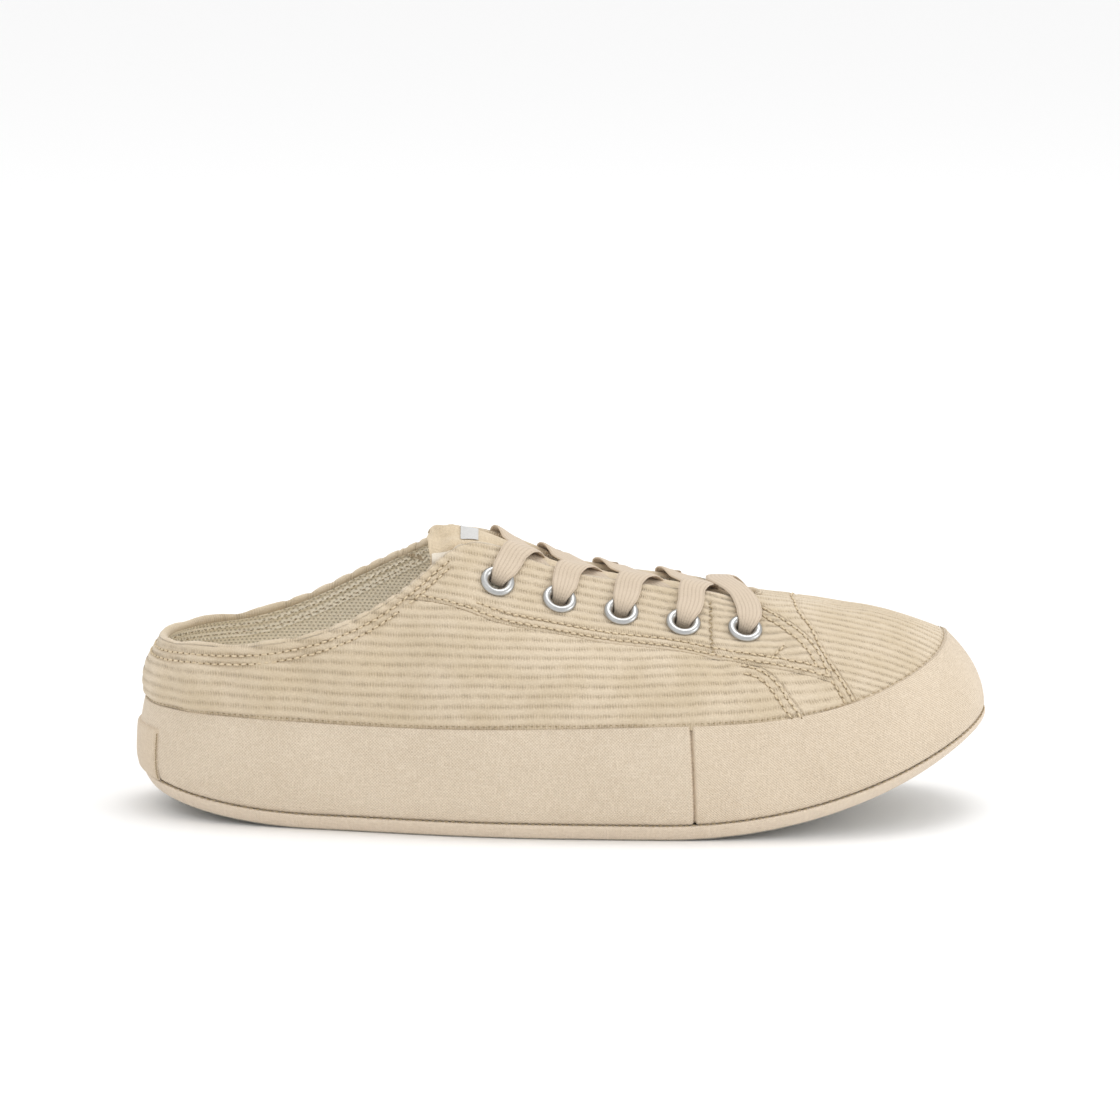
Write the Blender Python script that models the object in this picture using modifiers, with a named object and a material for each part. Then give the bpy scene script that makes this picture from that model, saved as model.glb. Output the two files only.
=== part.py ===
"""A low-backed corduroy sneaker on a thick canvas-wrapped sole: the right shoe.

Metres, +Z up. +X runs from heel to toe, and -Y is the outer (lateral) side of the foot.
The origin is on the floor, under the middle of the shoe. Everything is worked out from the
named sizes and the short tables below. A "turn" goes round the shoe: 0 is the middle of the
heel, 1 the tip of the toe along the outer side, and 2 is the heel again along the inner side.
"""

import math

import bmesh
import bpy
import numpy as np
from mathutils import Matrix, Vector

# Overall sizes
LENGTH = 0.272
BALL_WIDTH = 0.098
SOLE_HEIGHT = 0.0365
COLLAR_RISE = 0.0196
INSTEP_RISE = 0.0537
VAMP_RISE = 0.0328
COLLAR_WIDTH = 0.060
THROAT_WIDTH = 0.021
UPPER_WALL = 0.0025
SEAT_GAP = 0.0003
UPPER_SEAT_GAP = 0.0005

# Sole
OUTSOLE_THICKNESS = 0.005
TOE_SPRING = 0.028
TOE_SPRING_FROM = 0.61
HEEL_BEVEL_RISE = 0.0075
HEEL_BEVEL_LENGTH = 0.058
ARCH_RISE = 0.003
ARCH_FROM = 0.34
ARCH_TO = 0.52
TOE_LEAN = 0.013
BOTTOM_TUCK = 0.0045
CUP_RIM = 0.004
CUP_FLARE = 0.0005
GROOVE_WIDTH = 0.0025
GROOVE_DEPTH = 0.0012
GROOVE_MARGIN = 0.013

# Insole, tongue, laces and eyelets
INSOLE_THICKNESS = 0.004
INSOLE_GAP = 0.0006
TONGUE_THICKNESS = 0.0045
TONGUE_GAP = 0.0009
TONGUE_LAP = 0.013
TONGUE_CROWN = 0.0016
TONGUE_TOP_LENGTH = 0.007
TONGUE_TOP_RISE = 0.0022
LACE_WIDTH = 0.0085
LACE_THICKNESS = 0.0012
LACE_GAP = 0.0006
LACE_EDGE_LIFT = 0.0012
LACE_ARCH = 0.0008
LACE_LEAN = 0.003
LACE_TIP_BACK = 0.007
LACE_TIP_REACH = 0.78
EYELET_PITCH = 0.0196
EYELET_FIRST = 0.420
EYELET_FROM_THROAT = 0.0140
EYELET_RADIUS = 0.0055
EYELET_HOLE = 0.0027
EYELET_TUBE = 0.0005
EYELET_CREST = 0.0009
EYELET_LIP = 0.0004
EYELET_RIM = 0.0002

# Mesh fineness
STATIONS = 36
UPPER_ROWS = 11
EYELET_STEPS = 14
TONGUE_STEPS = 20
STAY_STEPS = 4
SHARP_ANGLE = 40
MERGE_DISTANCE = 0.00001

# How finely lengths and places on the upper are worked out
SMALL_TURN = 0.002
SMALL_STEP = 0.004
SMALL_SLOPE = 0.01
CLIMB_STEPS = 60
HALVINGS = 30
EYELET_SEARCH = (0.2, 0.98)

# The rings of the sole's parts, as shares of the height of their side walls.
OUTSOLE_RINGS = (0, 0.30, 0.64, 1)
MIDSOLE_RINGS = (0, 0.12, 0.28, 0.46, 0.64, 0.82, 1)

# The upper's rim leans along the way in from its foot where that way is long, and straight in
# from the outline where it is short. These are the two lengths.
SHORT_REACH = 0.004
LONG_REACH = 0.020

# The widest outline of the sole, seen from above: along is a share of the length, and across
# is a share of half the ball width, negative on the outer side.
OUTLINE_OUTER = (
    ("along", "across"),
    (0.000, 0.05),
    (0.035, -0.40),
    (0.120, -0.65),
    (0.250, -0.80),
    (0.400, -0.95),
    (0.550, -1.00),
    (0.660, -1.00),
    (0.780, -0.92),
    (0.890, -0.71),
    (0.970, -0.34),
    (1.000, 0.14),
)
OUTLINE_INNER = (
    ("along", "across"),
    (0.035, 0.50),
    (0.120, 0.70),
    (0.270, 0.70),
    (0.420, 0.70),
    (0.570, 0.87),
    (0.710, 1.00),
    (0.810, 0.97),
    (0.910, 0.82),
    (0.980, 0.54),
)

# The middle line of the last: across is a share of half the ball width.
AXIS = (
    ("along", "across"),
    (0.00, 0.05),
    (0.25, 0.00),
    (0.50, -0.01),
    (0.75, 0.03),
    (1.00, 0.14),
)

# The feather line, where upper and sole meet, as a share of the sole height at the heel.
FEATHER = (
    ("along", "height"),
    (0.00, 0.98),
    (0.12, 0.97),
    (0.31, 0.95),
    (0.48, 0.98),
    (0.65, 1.02),
    (0.78, 1.09),
    (0.86, 1.22),
    (0.94, 1.42),
    (1.00, 1.59),
)

# The side wall of the sole: bulge is the share of its height where it is widest, and lean is
# how far its top leans in, as a share of the toe's lean.
WALL = (
    ("turn", "bulge", "lean"),
    (0.00, 0.40, 0.12),
    (0.20, 0.40, 0.20),
    (0.40, 0.42, 0.24),
    (0.60, 0.40, 0.26),
    (0.75, 0.30, 0.38),
    (0.85, 0.22, 0.64),
    (0.93, 0.17, 0.90),
    (1.00, 0.16, 1.00),
)

# The top of the footbed above the underside of the sole, as a share of the sole height.
BED = (
    ("along", "height"),
    (0.00, 0.80),
    (0.30, 0.78),
    (0.60, 0.78),
    (0.80, 0.66),
    (1.00, 0.50),
)

# The topline, from the back of the collar to the front of the throat. Along is a share of the
# length. Collar and throat are shares of half the collar width and half the throat width, and
# they add up. Climb goes from the collar rise (behind the top) or the vamp rise (in front of
# it) at 0 to the instep rise at 1, on the outer and the inner side.
TOPLINE_TOP = 0.43
TOPLINE = (
    ("turn", "along", "collar", "throat", "climb_outer", "climb_inner"),
    (0.00, 0.024, 0.00, 0.00, 0.00, 0.00),
    (0.05, 0.028, 0.27, 0.00, 0.01, 0.01),
    (0.10, 0.040, 0.49, 0.00, 0.02, 0.02),
    (0.15, 0.062, 0.68, 0.00, 0.04, 0.04),
    (0.20, 0.097, 0.85, 0.00, 0.06, 0.06),
    (0.25, 0.146, 0.96, 0.00, 0.10, 0.12),
    (0.30, 0.206, 1.00, 0.00, 0.21, 0.30),
    (0.35, 0.273, 0.93, 0.05, 0.43, 0.58),
    (0.40, 0.341, 0.52, 0.50, 0.80, 0.88),
    (0.43, 0.383, 0.18, 0.84, 1.00, 1.00),
    (0.46, 0.430, 0.03, 0.97, 0.90, 0.92),
    (0.50, 0.488, 0.00, 1.00, 0.60, 0.62),
    (0.55, 0.555, 0.00, 1.00, 0.40, 0.40),
    (0.60, 0.610, 0.00, 1.00, 0.28, 0.28),
    (0.65, 0.650, 0.00, 1.00, 0.20, 0.20),
    (0.70, 0.680, 0.00, 0.97, 0.12, 0.12),
    (0.75, 0.701, 0.00, 0.88, 0.06, 0.06),
    (0.80, 0.715, 0.00, 0.72, 0.03, 0.03),
    (0.85, 0.724, 0.00, 0.54, 0.01, 0.01),
    (0.90, 0.729, 0.00, 0.36, 0.00, 0.00),
    (1.00, 0.732, 0.00, 0.00, 0.00, 0.00),
)

# How the upper leans, in degrees from upright: where it leaves the sole, and at its topline.
LEAN = (
    ("turn", "foot", "rim"),
    (0.00, -14, 36),
    (0.15, -12, 28),
    (0.25, -6, 15),
    (0.35, -2, 16),
    (0.42, 2, 38),
    (0.50, 6, 44),
    (0.60, 20, 48),
    (0.70, 34, 56),
    (0.75, 40, 66),
    (0.80, 48, 74),
    (0.85, 55, 80),
    (0.90, 61, 82),
    (1.00, 69, 81),
)
HANDLE = 0.38

# The eyelet rows, from the top: how far each lies below the throat's edge, as a share of the
# first one's distance.
EYELET_ROWS = (
    ("row", "drop"),
    (0, 1.00),
    (1, 0.96),
    (2, 1.02),
    (3, 1.18),
    (4, 1.36),
)

# Transverse grooves of the outsole: where each band starts and ends, and how many it has.
GROOVES = (
    ("start", "end", "count"),
    (0.11, 0.29, 5),
    (0.63, 0.83, 6),
)


def rows_of(table):
    """The rows of a table as dictionaries, named by its first row."""
    return [dict(zip(table[0], row)) for row in table[1:]]


def spline(knots, values, period=None):
    """A curve with smooth curvature through the points, as a function of one number."""
    x = np.array(knots, float)
    y = np.array(values, float)
    if period:
        x = np.append(x, x[0] + period)
        y = np.append(y, y[0])
    last = len(x) - 1
    step = np.diff(x)
    slope = np.diff(y) / step
    system = np.eye(last + 1)
    right = np.zeros(last + 1)
    for i in range(1, last):
        system[i, i - 1 : i + 2] = step[i - 1], 2 * (step[i - 1] + step[i]), step[i]
        right[i] = 6 * (slope[i] - slope[i - 1])
    if period:
        system[0, [0, 1, last - 1]] = 2 * (step[0] + step[-1]), step[0], step[-1]
        right[0] = 6 * (slope[0] - slope[-1])
        system[last, 0] = -1
    bend = np.linalg.solve(system, right)

    def at(t):
        if period:
            t = (t - x[0]) % period + x[0]
        t = min(max(t, x[0]), x[-1])
        i = min(max(int(np.searchsorted(x, t, side="right")) - 1, 0), last - 1)
        after = t - x[i]
        before = x[i + 1] - t
        cubic = (bend[i] * before**3 + bend[i + 1] * after**3) / (6 * step[i])
        line = (y[i] * before + y[i + 1] * after) / step[i]
        return float(cubic + line - step[i] * (bend[i] * before + bend[i + 1] * after) / 6)

    return at


def along_spline(table, column):
    """A column of a table as a function of the share of the length."""
    rows = rows_of(table)
    return spline([row["along"] for row in rows], [row[column] for row in rows])


def ring_spline(table, outer, inner=None, mirror=1):
    """A column as a function of the turn. The inner side repeats it, times mirror."""
    rows = rows_of(table)
    inner = inner or outer
    knots = [row["turn"] for row in rows]
    values = [row[outer] * mirror for row in rows]
    for row in reversed(rows[1:-1]):
        knots.append(2 - row["turn"])
        values.append(row[inner])
    return spline(knots, values, period=2)


def turn_of(along):
    """The turn on the outer side at a share of the length."""
    return math.acos(1 - 2 * along) / math.pi


def outline_spline():
    """The outline's across as a function of the turn, scaled to reach just -1 and 1."""
    outer = rows_of(OUTLINE_OUTER)
    inner = rows_of(OUTLINE_INNER)
    knots = [turn_of(row["along"]) for row in outer]
    values = [row["across"] for row in outer]
    for row in reversed(inner):
        knots.append(2 - turn_of(row["along"]))
        values.append(row["across"])
    raw = spline(knots, values, period=2)
    samples = [raw(i / 500) for i in range(1000)]
    low = min(samples)
    high = max(samples)
    return lambda turn: (2 * raw(turn) - low - high) / (high - low)


ACROSS = outline_spline()
AXIS_ACROSS = along_spline(AXIS, "across")
FEATHER_HEIGHT = along_spline(FEATHER, "height")
BED_HEIGHT = along_spline(BED, "height")
WALL_BULGE = ring_spline(WALL, "bulge")
WALL_LEAN = ring_spline(WALL, "lean")
TOP_ALONG = ring_spline(TOPLINE, "along")
TOP_COLLAR = ring_spline(TOPLINE, "collar", mirror=-1)
TOP_THROAT = ring_spline(TOPLINE, "throat", mirror=-1)
TOP_CLIMB = ring_spline(TOPLINE, "climb_outer", "climb_inner")
LEAN_FOOT = ring_spline(LEAN, "foot")
LEAN_RIM = ring_spline(LEAN, "rim")


def outline(turn):
    """A point of the sole's widest outline, on the floor, with x from the heel."""
    along = (1 - math.cos(math.pi * turn)) / 2
    return Vector((LENGTH * along, BALL_WIDTH / 2 * ACROSS(turn), 0))


def inward(turn):
    """The level direction into the shoe, square to the outline."""
    ahead = outline(turn + SMALL_TURN) - outline(turn - SMALL_TURN)
    return Vector((-ahead.y, ahead.x, 0)).normalized()


def share_along(turn):
    return (1 - math.cos(math.pi * turn)) / 2


def underside(turn):
    """The height of the sole's underside at its edge: heel bevel, arch and toe spring."""
    along = share_along(turn)
    height = 0
    back = 1 - along * LENGTH / HEEL_BEVEL_LENGTH
    if back > 0:
        height = HEEL_BEVEL_RISE * back**2
    ahead = (along - TOE_SPRING_FROM) * LENGTH
    if ahead > 0:
        reach = (1 - TOE_SPRING_FROM) * LENGTH
        radius = (reach**2 + TOE_SPRING**2) / (2 * TOE_SPRING)
        height = radius - math.sqrt(radius**2 - ahead**2)
    if turn > 1 and ARCH_FROM < along < ARCH_TO:
        share = (along - ARCH_FROM) / (ARCH_TO - ARCH_FROM)
        height = ARCH_RISE * math.sin(math.pi * share) ** 2
    return height


def feather_height(turn):
    return SOLE_HEIGHT * FEATHER_HEIGHT(share_along(turn))


def wall_point(turn, height):
    """A point of the sole's side wall, at a height above the underside's edge."""
    low = underside(turn)
    share = height / (feather_height(turn) - low)
    bulge = WALL_BULGE(turn)
    if share < bulge:
        inset = BOTTOM_TUCK * (1 - share / bulge) ** 2
    else:
        inset = TOE_LEAN * WALL_LEAN(turn) * ((share - bulge) / (1 - bulge)) ** 2
    point = outline(turn) + inward(turn) * inset
    point.z = low + height
    return point


def feather(turn):
    return wall_point(turn, feather_height(turn) - underside(turn))


def topline(turn):
    """A point of the collar's or throat's edge."""
    along = TOP_ALONG(turn)
    half = TOP_COLLAR(turn) * COLLAR_WIDTH / 2 + TOP_THROAT(turn) * THROAT_WIDTH / 2
    middle = AXIS_ACROSS(along) * BALL_WIDTH / 2
    behind = min(turn, 2 - turn) < TOPLINE_TOP
    base = COLLAR_RISE if behind else VAMP_RISE
    rise = base + (INSTEP_RISE - base) * TOP_CLIMB(turn)
    height = SOLE_HEIGHT * FEATHER_HEIGHT(along) + rise
    return Vector((LENGTH * along, middle + half, height))


def leaning(level, degrees):
    """A unit vector that leans from upright towards a level direction."""
    angle = math.radians(degrees)
    return level * math.sin(angle) + Vector((0, 0, math.cos(angle)))


def smooth_step(value, low, high):
    share = min(max((value - low) / (high - low), 0), 1)
    return share * share * (3 - 2 * share)


def foot_direction(turn):
    """The direction in which the upper leaves the sole."""
    return leaning(inward(turn), LEAN_FOOT(turn))


def upper_point(turn, share):
    """A point of the upper's outer face: share is 0 at the feather line and 1 at the topline."""
    rise = foot_direction(turn)
    foot = feather(turn) + rise * UPPER_SEAT_GAP
    rim = topline(turn)
    level = rim - foot
    level.z = 0
    far = smooth_step(level.length, SHORT_REACH, LONG_REACH)
    across = inward(turn).lerp(level.normalized(), far).normalized()
    reach = HANDLE * (rim - foot).length
    first = foot + rise * reach
    second = rim - leaning(across, LEAN_RIM(turn)) * reach
    rest = 1 - share
    return (
        foot * rest**3
        + first * (3 * rest**2 * share)
        + second * (3 * rest * share**2)
        + rim * share**3
    )


def upper_normal(turn, share):
    """The outward unit normal of the upper's outer face."""
    low = max(share - SMALL_STEP, 0)
    high = min(share + SMALL_STEP, 1)
    up = upper_point(turn, high) - upper_point(turn, low)
    return round_upper(turn, share).cross(up).normalized()


def round_upper(turn, share):
    """A short step round the shoe on the upper's outer face."""
    return upper_point(turn + SMALL_STEP, share) - upper_point(turn - SMALL_STEP, share)


def share_below_topline(turn, distance):
    """The upper's share at a distance below the topline, measured on the surface."""
    here = upper_point(turn, 1)
    length = 0
    for i in range(1, CLIMB_STEPS + 1):
        share = 1 - i / CLIMB_STEPS
        there = upper_point(turn, share)
        part = (there - here).length
        if length + part >= distance:
            return share + (1 - (distance - length) / part) / CLIMB_STEPS
        length += part
        here = there
    return 0.0


def turn_on_upper(x, distance, inner):
    """The turn at which the line a distance below the topline reaches x from the heel."""
    low, high = EYELET_SEARCH
    for _ in range(HALVINGS):
        middle = (low + high) / 2
        turn = 2 - middle if inner else middle
        if upper_point(turn, share_below_topline(turn, distance)).x < x:
            low = middle
        else:
            high = middle
    return 2 - low if inner else low


def eyelet_places(inner):
    """The turn and share of each eyelet on one side, from the top row down."""
    places = []
    for row in rows_of(EYELET_ROWS):
        x = EYELET_FIRST * LENGTH + EYELET_PITCH * row["row"]
        drop = EYELET_FROM_THROAT * row["drop"]
        turn = turn_on_upper(x, drop, inner)
        places.append((turn, share_below_topline(turn, drop)))
    return places


def ring_turns():
    """The turns of the stations round the shoe, as many on the outer as on the inner side."""
    return [i / STATIONS for i in range(2 * STATIONS)]


def new_object(name, bm, material, shell=False):
    """Makes a named object of a finished bmesh, with the floor under its middle as origin."""
    bmesh.ops.translate(bm, verts=bm.verts, vec=(-LENGTH / 2, 0, 0))
    if not shell:
        bmesh.ops.recalc_face_normals(bm, faces=bm.faces)
    mesh = bpy.data.meshes.new(name)
    bm.to_mesh(mesh)
    bm.free()
    mesh.shade_smooth()
    mesh.set_sharp_from_angle(angle=math.radians(SHARP_ANGLE))
    thing = bpy.data.objects.new(name, mesh)
    thing.data.materials.append(material)
    PARTS.objects.link(thing)
    return thing


def thicken(thing, thickness):
    """Gives an open surface a wall on its inner side."""
    wall = thing.modifiers.new("wall", "SOLIDIFY")
    wall.thickness = thickness
    wall.offset = -1
    wall.use_even_offset = True


def add_ring(bm, points):
    return [bm.verts.new(point) for point in points]


def bridge(bm, low, high, closed=True):
    """Faces between two rows with as many vertices each."""
    count = len(low)
    for i in range(count if closed else count - 1):
        j = (i + 1) % count
        bm.faces.new((low[i], low[j], high[j], high[i]))


def span_ring(bm, ring):
    """Closes a ring round the shoe, from each outer station to the inner one opposite."""
    count = len(ring)
    half = count // 2
    bm.faces.new((ring[0], ring[1], ring[-1]))
    for i in range(1, half - 1):
        bm.faces.new((ring[i], ring[i + 1], ring[count - i - 1], ring[count - i]))
    bm.faces.new((ring[half - 1], ring[half], ring[half + 1]))


def loft_rings(rings, material, name):
    """A solid through rings round the shoe, closed across the first and the last."""
    bm = bmesh.new()
    rows = [add_ring(bm, ring) for ring in rings]
    for low, high in zip(rows, rows[1:]):
        bridge(bm, low, high)
    span_ring(bm, rows[0])
    span_ring(bm, rows[-1])
    return new_object(name, bm, material)


def cut(thing, cutter, operation="DIFFERENCE"):
    """Cuts one object with another, or joins it, which stays as a hidden guide."""
    cutter.hide_render = True
    cutter.display_type = "WIRE"
    modifier = thing.modifiers.new("cut", "BOOLEAN")
    modifier.operation = operation
    modifier.solver = "EXACT"
    modifier.object = cutter


def cutter_object(name, bm):
    bmesh.ops.translate(bm, verts=bm.verts, vec=(-LENGTH / 2, 0, 0))
    mesh = bpy.data.meshes.new(name)
    bm.to_mesh(mesh)
    bm.free()
    thing = bpy.data.objects.new(name, mesh)
    CUTTERS.objects.link(thing)
    return thing


def add_groove(bm, along):
    """A slot across the sole, square to its underside, that ends short of both edges."""
    turn = turn_of(along)
    left = wall_point(turn, 0)
    right = wall_point(2 - turn, 0)
    before = wall_point(turn_of(along - SMALL_SLOPE), 0)
    ahead = wall_point(turn_of(along + SMALL_SLOPE), 0) - before
    pitch = math.atan2(ahead.z, ahead.x)
    middle = (left + right) / 2
    width = (right - left).length - 2 * GROOVE_MARGIN
    made = bmesh.ops.create_cube(bm, size=1)["verts"]
    bmesh.ops.scale(bm, verts=made, vec=(GROOVE_WIDTH, width, 2 * GROOVE_DEPTH))
    turned = Matrix.Rotation(-pitch, 3, "Y")
    bmesh.ops.rotate(bm, verts=made, matrix=turned)
    bmesh.ops.translate(bm, verts=made, vec=middle)


def make_outsole(material):
    """The bottom tray: its side strip is as high as the tray is thick."""
    rings = []
    for share in OUTSOLE_RINGS:
        height = OUTSOLE_THICKNESS * share
        rings.append([wall_point(turn, height) for turn in ring_turns()])
    outsole = loft_rings(rings, material, "outsole")
    bm = bmesh.new()
    for band in rows_of(GROOVES):
        for i in range(band["count"]):
            share = i / (band["count"] - 1)
            add_groove(bm, band["start"] + (band["end"] - band["start"]) * share)
    cut(outsole, cutter_object("groove_cutter", bm))
    return outsole


def cup_edge(turn):
    """The inner edge of the sole's rim, square to the upper where it stands on the sole."""
    rise = (upper_point(turn, 1 / UPPER_ROWS) - upper_point(turn, 0)).normalized()
    level = inward(turn)
    into = (level * rise.z - Vector((0, 0, level.dot(rise)))).normalized()
    return feather(turn) + into * CUP_RIM


def bed_point(turn, inset, lift):
    """A point of the footbed's edge, by how far it is in from the cup's wall and up."""
    point = cup_edge(turn) + inward(turn) * (CUP_FLARE + inset)
    point.z = underside(turn) + SOLE_HEIGHT * BED_HEIGHT(share_along(turn)) + lift
    return point


def make_midsole(material):
    """The foam cup: side wall, a rim for the upper and a bed inside it."""
    rings = []
    foot = OUTSOLE_THICKNESS + SEAT_GAP
    for share in MIDSOLE_RINGS:
        ring = []
        for turn in ring_turns():
            full = feather_height(turn) - underside(turn)
            ring.append(wall_point(turn, foot + (full - foot) * share))
        rings.append(ring)
    rings.append([cup_edge(turn) for turn in ring_turns()])
    rings.append([bed_point(turn, 0, 0) for turn in ring_turns()])
    return loft_rings(rings, material, "midsole")


def make_insole(material):
    low = [bed_point(turn, INSOLE_GAP, SEAT_GAP) for turn in ring_turns()]
    high = [bed_point(turn, INSOLE_GAP, SEAT_GAP + INSOLE_THICKNESS) for turn in ring_turns()]
    return loft_rings([low, high], material, "insole")


def make_upper(material):
    """One hollow shell from the feather line to collar and throat, pierced for the eyelets."""
    bm = bmesh.new()
    rows = []
    for i in range(UPPER_ROWS + 1):
        share = i / UPPER_ROWS
        rows.append(add_ring(bm, [upper_point(turn, share) for turn in ring_turns()]))
    for low, high in zip(rows, rows[1:]):
        bridge(bm, low, high)
    upper = new_object("upper", bm, material, shell=True)
    thicken(upper, UPPER_WALL)
    holes = bmesh.new()
    for inner in (False, True):
        for turn, share in eyelet_places(inner):
            made = bmesh.ops.create_cone(
                holes,
                cap_ends=True,
                segments=EYELET_STEPS,
                radius1=EYELET_HOLE + EYELET_TUBE + SEAT_GAP,
                radius2=EYELET_HOLE + EYELET_TUBE + SEAT_GAP,
                depth=4 * UPPER_WALL,
            )["verts"]
            stand = standing(turn, share)
            bmesh.ops.transform(holes, verts=made, matrix=stand)
    cut(upper, cutter_object("eyelet_hole_cutter", holes))
    return upper


def standing(turn, share):
    """A frame on the upper: its z is the outward normal and its x runs round the shoe."""
    normal = upper_normal(turn, share)
    side = normal.cross(round_upper(turn, share)).normalized()
    on = side.cross(normal)
    frame = Matrix((on, side, normal)).transposed().to_4x4()
    frame.translation = upper_point(turn, share)
    return frame


def make_eyelet(name, turn, share, material):
    """A turned ring: a rolled flange on the face and a tube through the upper's wall."""
    tube = EYELET_HOLE + EYELET_TUBE
    flange = 2 * SEAT_GAP
    crest = flange + EYELET_CREST
    end = -UPPER_WALL - SEAT_GAP
    profile = (
        (EYELET_HOLE, crest - EYELET_LIP),
        ((EYELET_HOLE + EYELET_RADIUS) / 2, crest),
        (EYELET_RADIUS, flange + EYELET_RIM),
        (EYELET_RADIUS, flange),
        (tube, flange),
        (tube, end),
        (EYELET_HOLE, end),
    )
    bm = bmesh.new()
    stand = standing(turn, share)
    rings = []
    for step in range(EYELET_STEPS):
        angle = 2 * math.pi * step / EYELET_STEPS
        spoke = Vector((math.cos(angle), math.sin(angle), 0))
        around = [stand @ (spoke * r + Vector((0, 0, z))) for r, z in profile]
        rings.append(add_ring(bm, around))
    for step in range(EYELET_STEPS):
        bridge(bm, rings[step], rings[(step + 1) % EYELET_STEPS])
    return new_object(name, bm, material)


def tongue_row(turn, crown):
    """Points across the tongue's face: under one stay, over the throat, under the other."""
    depth = UPPER_WALL + TONGUE_GAP
    sides = []
    for there in (turn, 2 - turn):
        side = []
        for lap in (TONGUE_LAP, TONGUE_LAP / 2, 0):
            share = share_below_topline(there, lap)
            side.append(upper_point(there, share) - upper_normal(there, share) * depth)
        sides.append(side)
    left, right = sides[0][-1], sides[1][-1]
    middle = []
    for share in (0.25, 0.5, 0.75):
        bow = 4 * share * (1 - share) * crown * (right - left).length / THROAT_WIDTH
        middle.append(left.lerp(right, share) + Vector((0, 0, bow)))
    return sides[0] + middle + sides[1][::-1]


def make_tongue(material):
    """A pad that follows the inside of the upper, fills the throat and stands out at the top."""
    rows = []
    for i in range(TONGUE_STEPS + 1):
        turn = TOPLINE_TOP + (1 - TOPLINE_TOP) * i / TONGUE_STEPS
        rows.append(tongue_row(turn, TONGUE_CROWN))
    back = Vector((-TONGUE_TOP_LENGTH, 0, 0))
    top = [point + back for point in tongue_row(TOPLINE_TOP, TONGUE_CROWN + TONGUE_TOP_RISE)]
    half = tongue_row(TOPLINE_TOP, TONGUE_CROWN + TONGUE_TOP_RISE / 2)
    rows = [top, [point + back / 2 for point in half]] + rows
    bm = bmesh.new()
    made = [add_ring(bm, row) for row in rows]
    for near, far in zip(made, made[1:]):
        bridge(bm, far, near, closed=False)
    bmesh.ops.remove_doubles(bm, verts=bm.verts, dist=MERGE_DISTANCE)
    tongue = new_object("tongue", bm, material, shell=True)
    thicken(tongue, TONGUE_THICKNESS)
    return tongue


def edge_turn(x, inner):
    """The turn at which the throat's edge reaches x from the heel."""
    low = TOPLINE_TOP
    high = 1
    for _ in range(HALVINGS):
        middle = (low + high) / 2
        if topline(middle).x < x:
            low = middle
        else:
            high = middle
    return 2 - low if inner else low


def throat_normal(turn):
    """The upward unit normal of the throat between its two edges."""
    turn = min(turn, 2 - turn)
    ahead = topline(turn + SMALL_SLOPE) - topline(turn - SMALL_SLOPE)
    return Vector((-ahead.z, 0, ahead.x)).normalized()


def over_stay(place, edge, lift):
    """The lace from an eyelet's rim up to the throat's edge, as points and normals."""
    turn, share = place
    rim = EYELET_RADIUS + LACE_GAP
    line = []
    length = (upper_point(turn, share) - upper_point(edge, 1)).length
    for i in range(STAY_STEPS):
        part = rim / length + (1 - rim / length) * i / (STAY_STEPS - 1)
        at_turn = turn + (edge - turn) * part
        at_share = share + (1 - share) * part
        normal = upper_normal(at_turn, at_share)
        height = lift + LACE_EDGE_LIFT * part
        line.append((upper_point(at_turn, at_share) + normal * height, normal))
    return line


def strap(line):
    """A flat strap along a line of points and normals."""
    bm = bmesh.new()
    rings = []
    for i, (point, normal) in enumerate(line):
        ahead = line[min(i + 1, len(line) - 1)][0] - line[max(i - 1, 0)][0]
        side = normal.cross(ahead).normalized() * LACE_WIDTH / 2
        up = normal * LACE_THICKNESS / 2
        corners = (point - side - up, point + side - up, point + side + up, point - side + up)
        rings.append(add_ring(bm, corners))
    for low, high in zip(rings, rings[1:]):
        bridge(bm, low, high)
    bm.faces.new(rings[0])
    bm.faces.new(rings[-1])
    bmesh.ops.recalc_face_normals(bm, faces=bm.faces)
    return bm


def crossing_line(row, inner):
    """The lace from one eyelet over its stay and down across the throat to the next row."""
    lift = LACE_GAP + LACE_THICKNESS / 2
    rows = rows_of(EYELET_ROWS)
    x = EYELET_FIRST * LENGTH + EYELET_PITCH * row
    edge = edge_turn(x + LACE_LEAN, inner)
    line = over_stay(eyelet_places(inner)[row], edge, lift)
    is_last = row == len(rows) - 2
    back = LACE_TIP_BACK + (LACE_WIDTH / 3 if is_last else 0)
    far = edge_turn(x + EYELET_PITCH - back, inner)
    across = tongue_row(min(far, 2 - far), TONGUE_CROWN)
    if inner:
        across = across[::-1]
    reach = LACE_TIP_REACH
    tip = across[2].lerp(across[6], reach)
    bow = 4 * reach * (1 - reach) * TONGUE_CROWN
    tip += throat_normal(far) * (bow + lift)
    start, first = line[-1]
    for part in (0.2, 0.4, 0.7, 1):
        level = throat_normal(edge + (far - edge) * part)
        normal = first.lerp(level, min(1, part * 2)).normalized()
        arch = normal * (4 * part * (1 - part) * LACE_ARCH)
        line.append((start.lerp(tip, part) + arch, normal))
    return line


def make_crossing(row, material):
    """Two straps that cross over the throat, joined as one."""
    first = strap(crossing_line(row, inner=False))
    crossing = new_object(f"lace_crossing_{row + 1}", first, material)
    second = strap(crossing_line(row, inner=True))
    other = cutter_object(f"lace_join_{row + 1}", second)
    cut(crossing, other, "UNION")
    return crossing


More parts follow.
